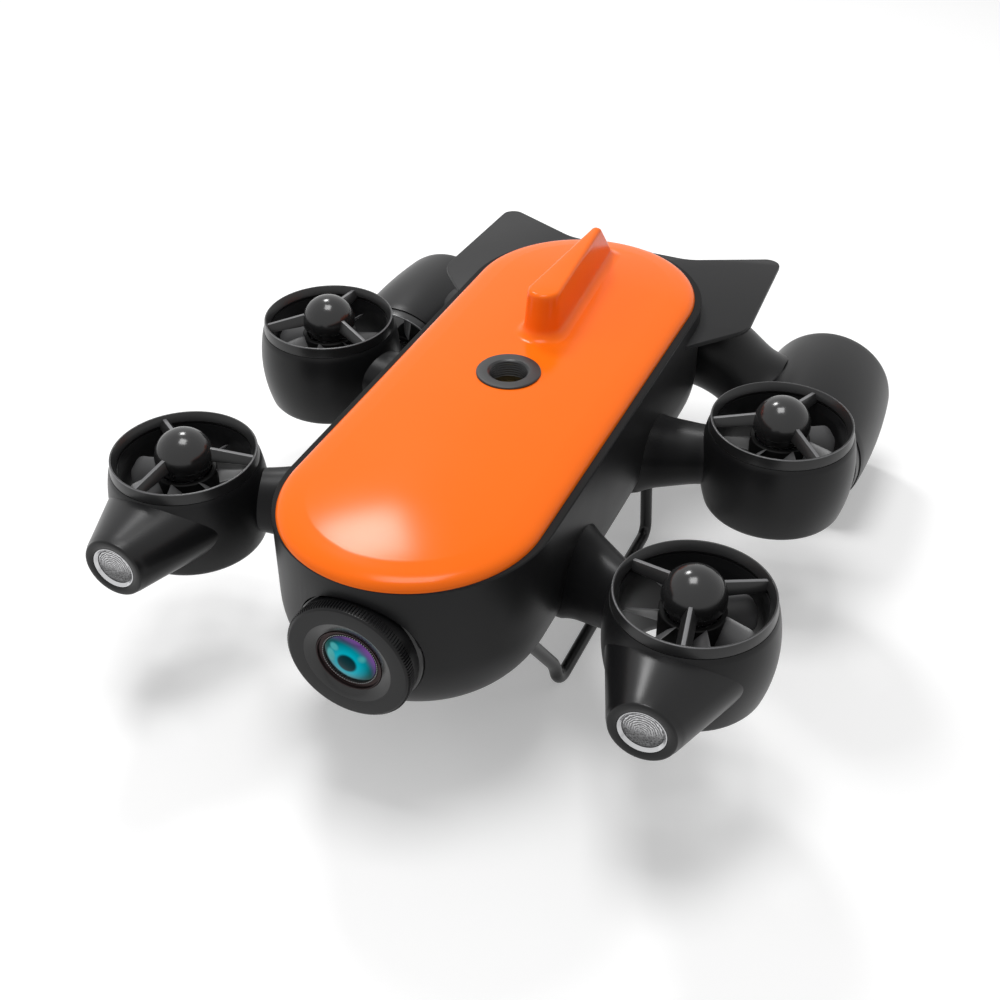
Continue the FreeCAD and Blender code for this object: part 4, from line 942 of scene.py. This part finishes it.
def makeWindowBezel(place):
    s = windowSizes
    bezel = roundedCorners([(s["bezel"], -8.3), (s["bezel"], -1.6, 0.3), (16.0, -1.6, 0.3), (15.6, -3.0, 0.2),
                            (s["lip"] + 0.9, -3.0, 0.2), (s["lip"] + 0.6, -3.2), (s["lip"], -3.2, 0.1),
                            (s["lip"], -8.3)], 4)
    bead = [(s["beadRound"] * math.sin(a), s["beadRound"] * math.cos(a)) for a in arc(6, math.pi)]
    seat = Matrix.Translation(((s["lip"] + s["beadCircle"]) * mm, 0, -s["beadDepth"] * mm))
    vertices, faces = lathe(scaled(bead), 8, closed=False)
    beads = repeated([seat @ Vector(v) for v in vertices], faces, s["beads"], 0.0, beadSteel)
    piece = setInPlace("windowBezel", [latheMesh(bezel, 128, bezelSteel), beads], place)
    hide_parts("lens_bezel")


def makeWindowLens(place):
    s = windowSizes
    glass = [(s["lens"] * t, -s["lensRim"] + s["lensRise"] * (1 - t ** 2)) for t in arc(24, 1)]
    glass += [(s["lens"], -s["lensFoot"]), (0.0, -s["lensFoot"])]
    piece = finishMesh("windowLens", *lathe(scaled(glass), 96, closed=False), coatedLens, "vehicle", place)
    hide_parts("lens_glass")


def makeCameraBlock(place):
    s = cameraBlockSizes
    barrel = [(0.0, -s["top"]), (s["neck"], -s["top"]), (s["neck"], -s["shoulder"]),
              (s["barrel"], -s["shoulder"]), (s["barrel"], -s["length"]), (0.0, -s["length"])]
    half, corner = s["half"], s["corner"]
    square = roundedCorners([(half, -half, corner), (half, half, corner), (-half, half, corner),
                             (-half, -half, corner)], 4)
    block = [scaled([(x, y, -depth) for x, y in square]) for depth in (s["blockEnd"], s["blockTop"])]
    parts = [latheMesh(barrel, 96, anodised, closed=False), meshOf(*loftRings(block), anodised)]
    piece = setInPlace("cameraBarrel", parts, place)
    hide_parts("camera_module")


windowPlace = Matrix.Translation((0, windowLow.y, windowMiddle.z)) @ quarterTurn
for makePart in (makeWindowRing, makeWindowCollar, makeWindowBezel, makeWindowLens, makeCameraBlock):
    makePart(windowPlace)
print("window made")


# ---- tether port
portSizes = {"flange": 16.8, "tube": 13.0, "bore": 9.66, "thread": 8.4, "pitch": 1.4, "socket": 11.2,
             "height": 1.0, "depth": 16.0}


def makePort():
    s = portSizes
    _, high, middle = boxOf("port_ring")
    place = Matrix.Translation((middle.x, middle.y, high.z))
    profile = [(s["socket"], -s["depth"]), (s["tube"], -s["depth"]), (s["tube"], -s["height"]),
               (s["flange"], -s["height"]), (s["flange"], -0.45, 0.3), (s["flange"] - 0.5, 0, 0.4),
               (s["bore"] + 1.4, 0, 0.3), (s["bore"] + 0.5, -0.6, 0.3)]
    for k in range(int(s["thread"] / s["pitch"])):    # turns of the thread
        z = -1.0 - k * s["pitch"]
        profile += [(s["bore"] + 0.05, z, 0.1), (s["bore"] + 0.75, z - s["pitch"] * 0.5, 0.1)]
    profile += [(s["bore"] + 0.05, -s["thread"] - 0.8), (s["socket"], -s["thread"] - 1.0)]
    piece = finishMesh("portRing", *lathe(scaled(roundedCorners(profile, 3)), 96), anodised, "vehicle", place)
    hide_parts("port_ring")


makePort()


# ---- nodes that stay as they are, with their own finish
kept = {"cover_seal": sealRubber, "port_socket": contactBrass, "battery_pack": batteryWrap,
        "main_board": boardGreen, "skid_left": skidBlack, "skid_right": skidBlack}
kept.update({"motor_" + station: motorSteel for station in guardTurns})
for node, material in kept.items():
    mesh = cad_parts[node].data
    for index in range(len(mesh.materials)):
        mesh.materials[index] = material
    if not mesh.materials:
        mesh.materials.append(material)
print("kept nodes dressed")


# ---- floor, lights and camera
stageSizes = {"floor": 12.0, "floorColor": 0.8, "glow": 0.3, "worldLight": 0.37}
lampsOverhead = {
    "overhead": {"at": (-0.1, -0.03, 1.65), "towards": (0, 0, 0.1), "size": 0.6, "power": 12, "shine": True},
    "keySpot": {"at": (-0.71, 0.80, 1.36), "towards": (0, 0, 0.1), "size": 0.3, "power": 8, "shine": True},
    "leftPanel": {"at": (-1.5, -0.6, 0.9), "towards": (0, 0, 0.08), "size": 0.9, "power": 7, "shine": False},
    "rightPanel": {"at": (1.3, 0.9, 0.8), "towards": (0, 0, 0.08), "size": 0.8, "power": 0.8, "shine": False},
}
cameraSizes = {"at": (0.25135, -0.59198, 0.53404), "towards": (0.028151, -0.088615, 0.1177),
               "lens": 51.635, "sensor": 36.0, "roll": -0.003}


def addThing(name, data):
    thing = bpy.data.objects.new(name, data)
    bpy.context.scene.collection.objects.link(thing)
    return thing


def seenDirectly(tree):    # 1 for what the camera, a mirror or glass sees, 0 for lighting
    path = addNode(tree, "ShaderNodeLightPath")
    first, second = (addNode(tree, "ShaderNodeMath", operation="MAXIMUM") for _ in range(2))
    linkAll(tree, (path, "Is Camera Ray", first, 0),
            (path, "Is Glossy Ray", first, 1),
            (first, 0, second, 0),
            (path, "Is Transmission Ray", second, 1))
    return second


def makeFloor():
    half, shade = stageSizes["floor"] / 2, stageSizes["floorColor"]
    mesh = bpy.data.meshes.new("floor")
    mesh.from_pydata([(-half, -half, 0), (half, -half, 0), (half, half, 0), (-half, half, 0)],
                     [], [(0, 1, 2, 3)])
    floor = addThing("floor", mesh)
    material, shader = newMaterial("floorPaper", Base_Color=(shade, shade, shade, 1), Roughness=0.9,
                                   Specular_IOR_Level=0, Emission_Color=(1, 1, 1, 1))
    tree = material.node_tree
    glow = addNode(tree, "ShaderNodeMath", {1: stageSizes["glow"]}, operation="MULTIPLY")
    linkAll(tree, (seenDirectly(tree), 0, glow, 0), (glow, 0, shader, "Emission Strength"))
    mesh.materials.append(material)


def makeWorld():
    world = bpy.data.worlds.new("studio")
    bpy.context.scene.world = world
    world.use_nodes = True
    tree = world.node_tree
    background = tree.nodes["Background"]
    background.inputs["Color"].default_value = (1, 1, 1, 1)
    strength = addNode(tree, "ShaderNodeMapRange", {"To Min": stageSizes["worldLight"], "To Max": 1})
    linkAll(tree, (seenDirectly(tree), 0, strength, "Value"),
            (strength, 0, background, "Strength"))


def lookAt(thing, towards, roll=0.0):
    direction = Vector(towards) - thing.location
    turn = direction.to_track_quat("-Z", "Y").to_matrix() @ Matrix.Rotation(roll, 3, "Z")
    thing.rotation_euler = turn.to_euler()


def makeLights():
    for name, s in lampsOverhead.items():
        light = bpy.data.lights.new(name, "AREA")
        light.size = s["size"]
        light.energy = s["power"]
        lamp = addThing(name, light)
        lamp.location = s["at"]
        lamp.visible_glossy = s["shine"]
        lookAt(lamp, s["towards"])


def makeCamera():
    s = cameraSizes
    data = bpy.data.cameras.new("camera")
    data.lens, data.sensor_width = s["lens"], s["sensor"]
    data.clip_start, data.clip_end = 0.01, 50
    camera = addThing("camera", data)
    camera.location = s["at"]
    lookAt(camera, s["towards"], s["roll"])
    bpy.context.scene.camera = camera


makeFloor()
makeWorld()
makeLights()
makeCamera()
bpy.context.scene.view_settings.view_transform = "Standard"
print("stage made")
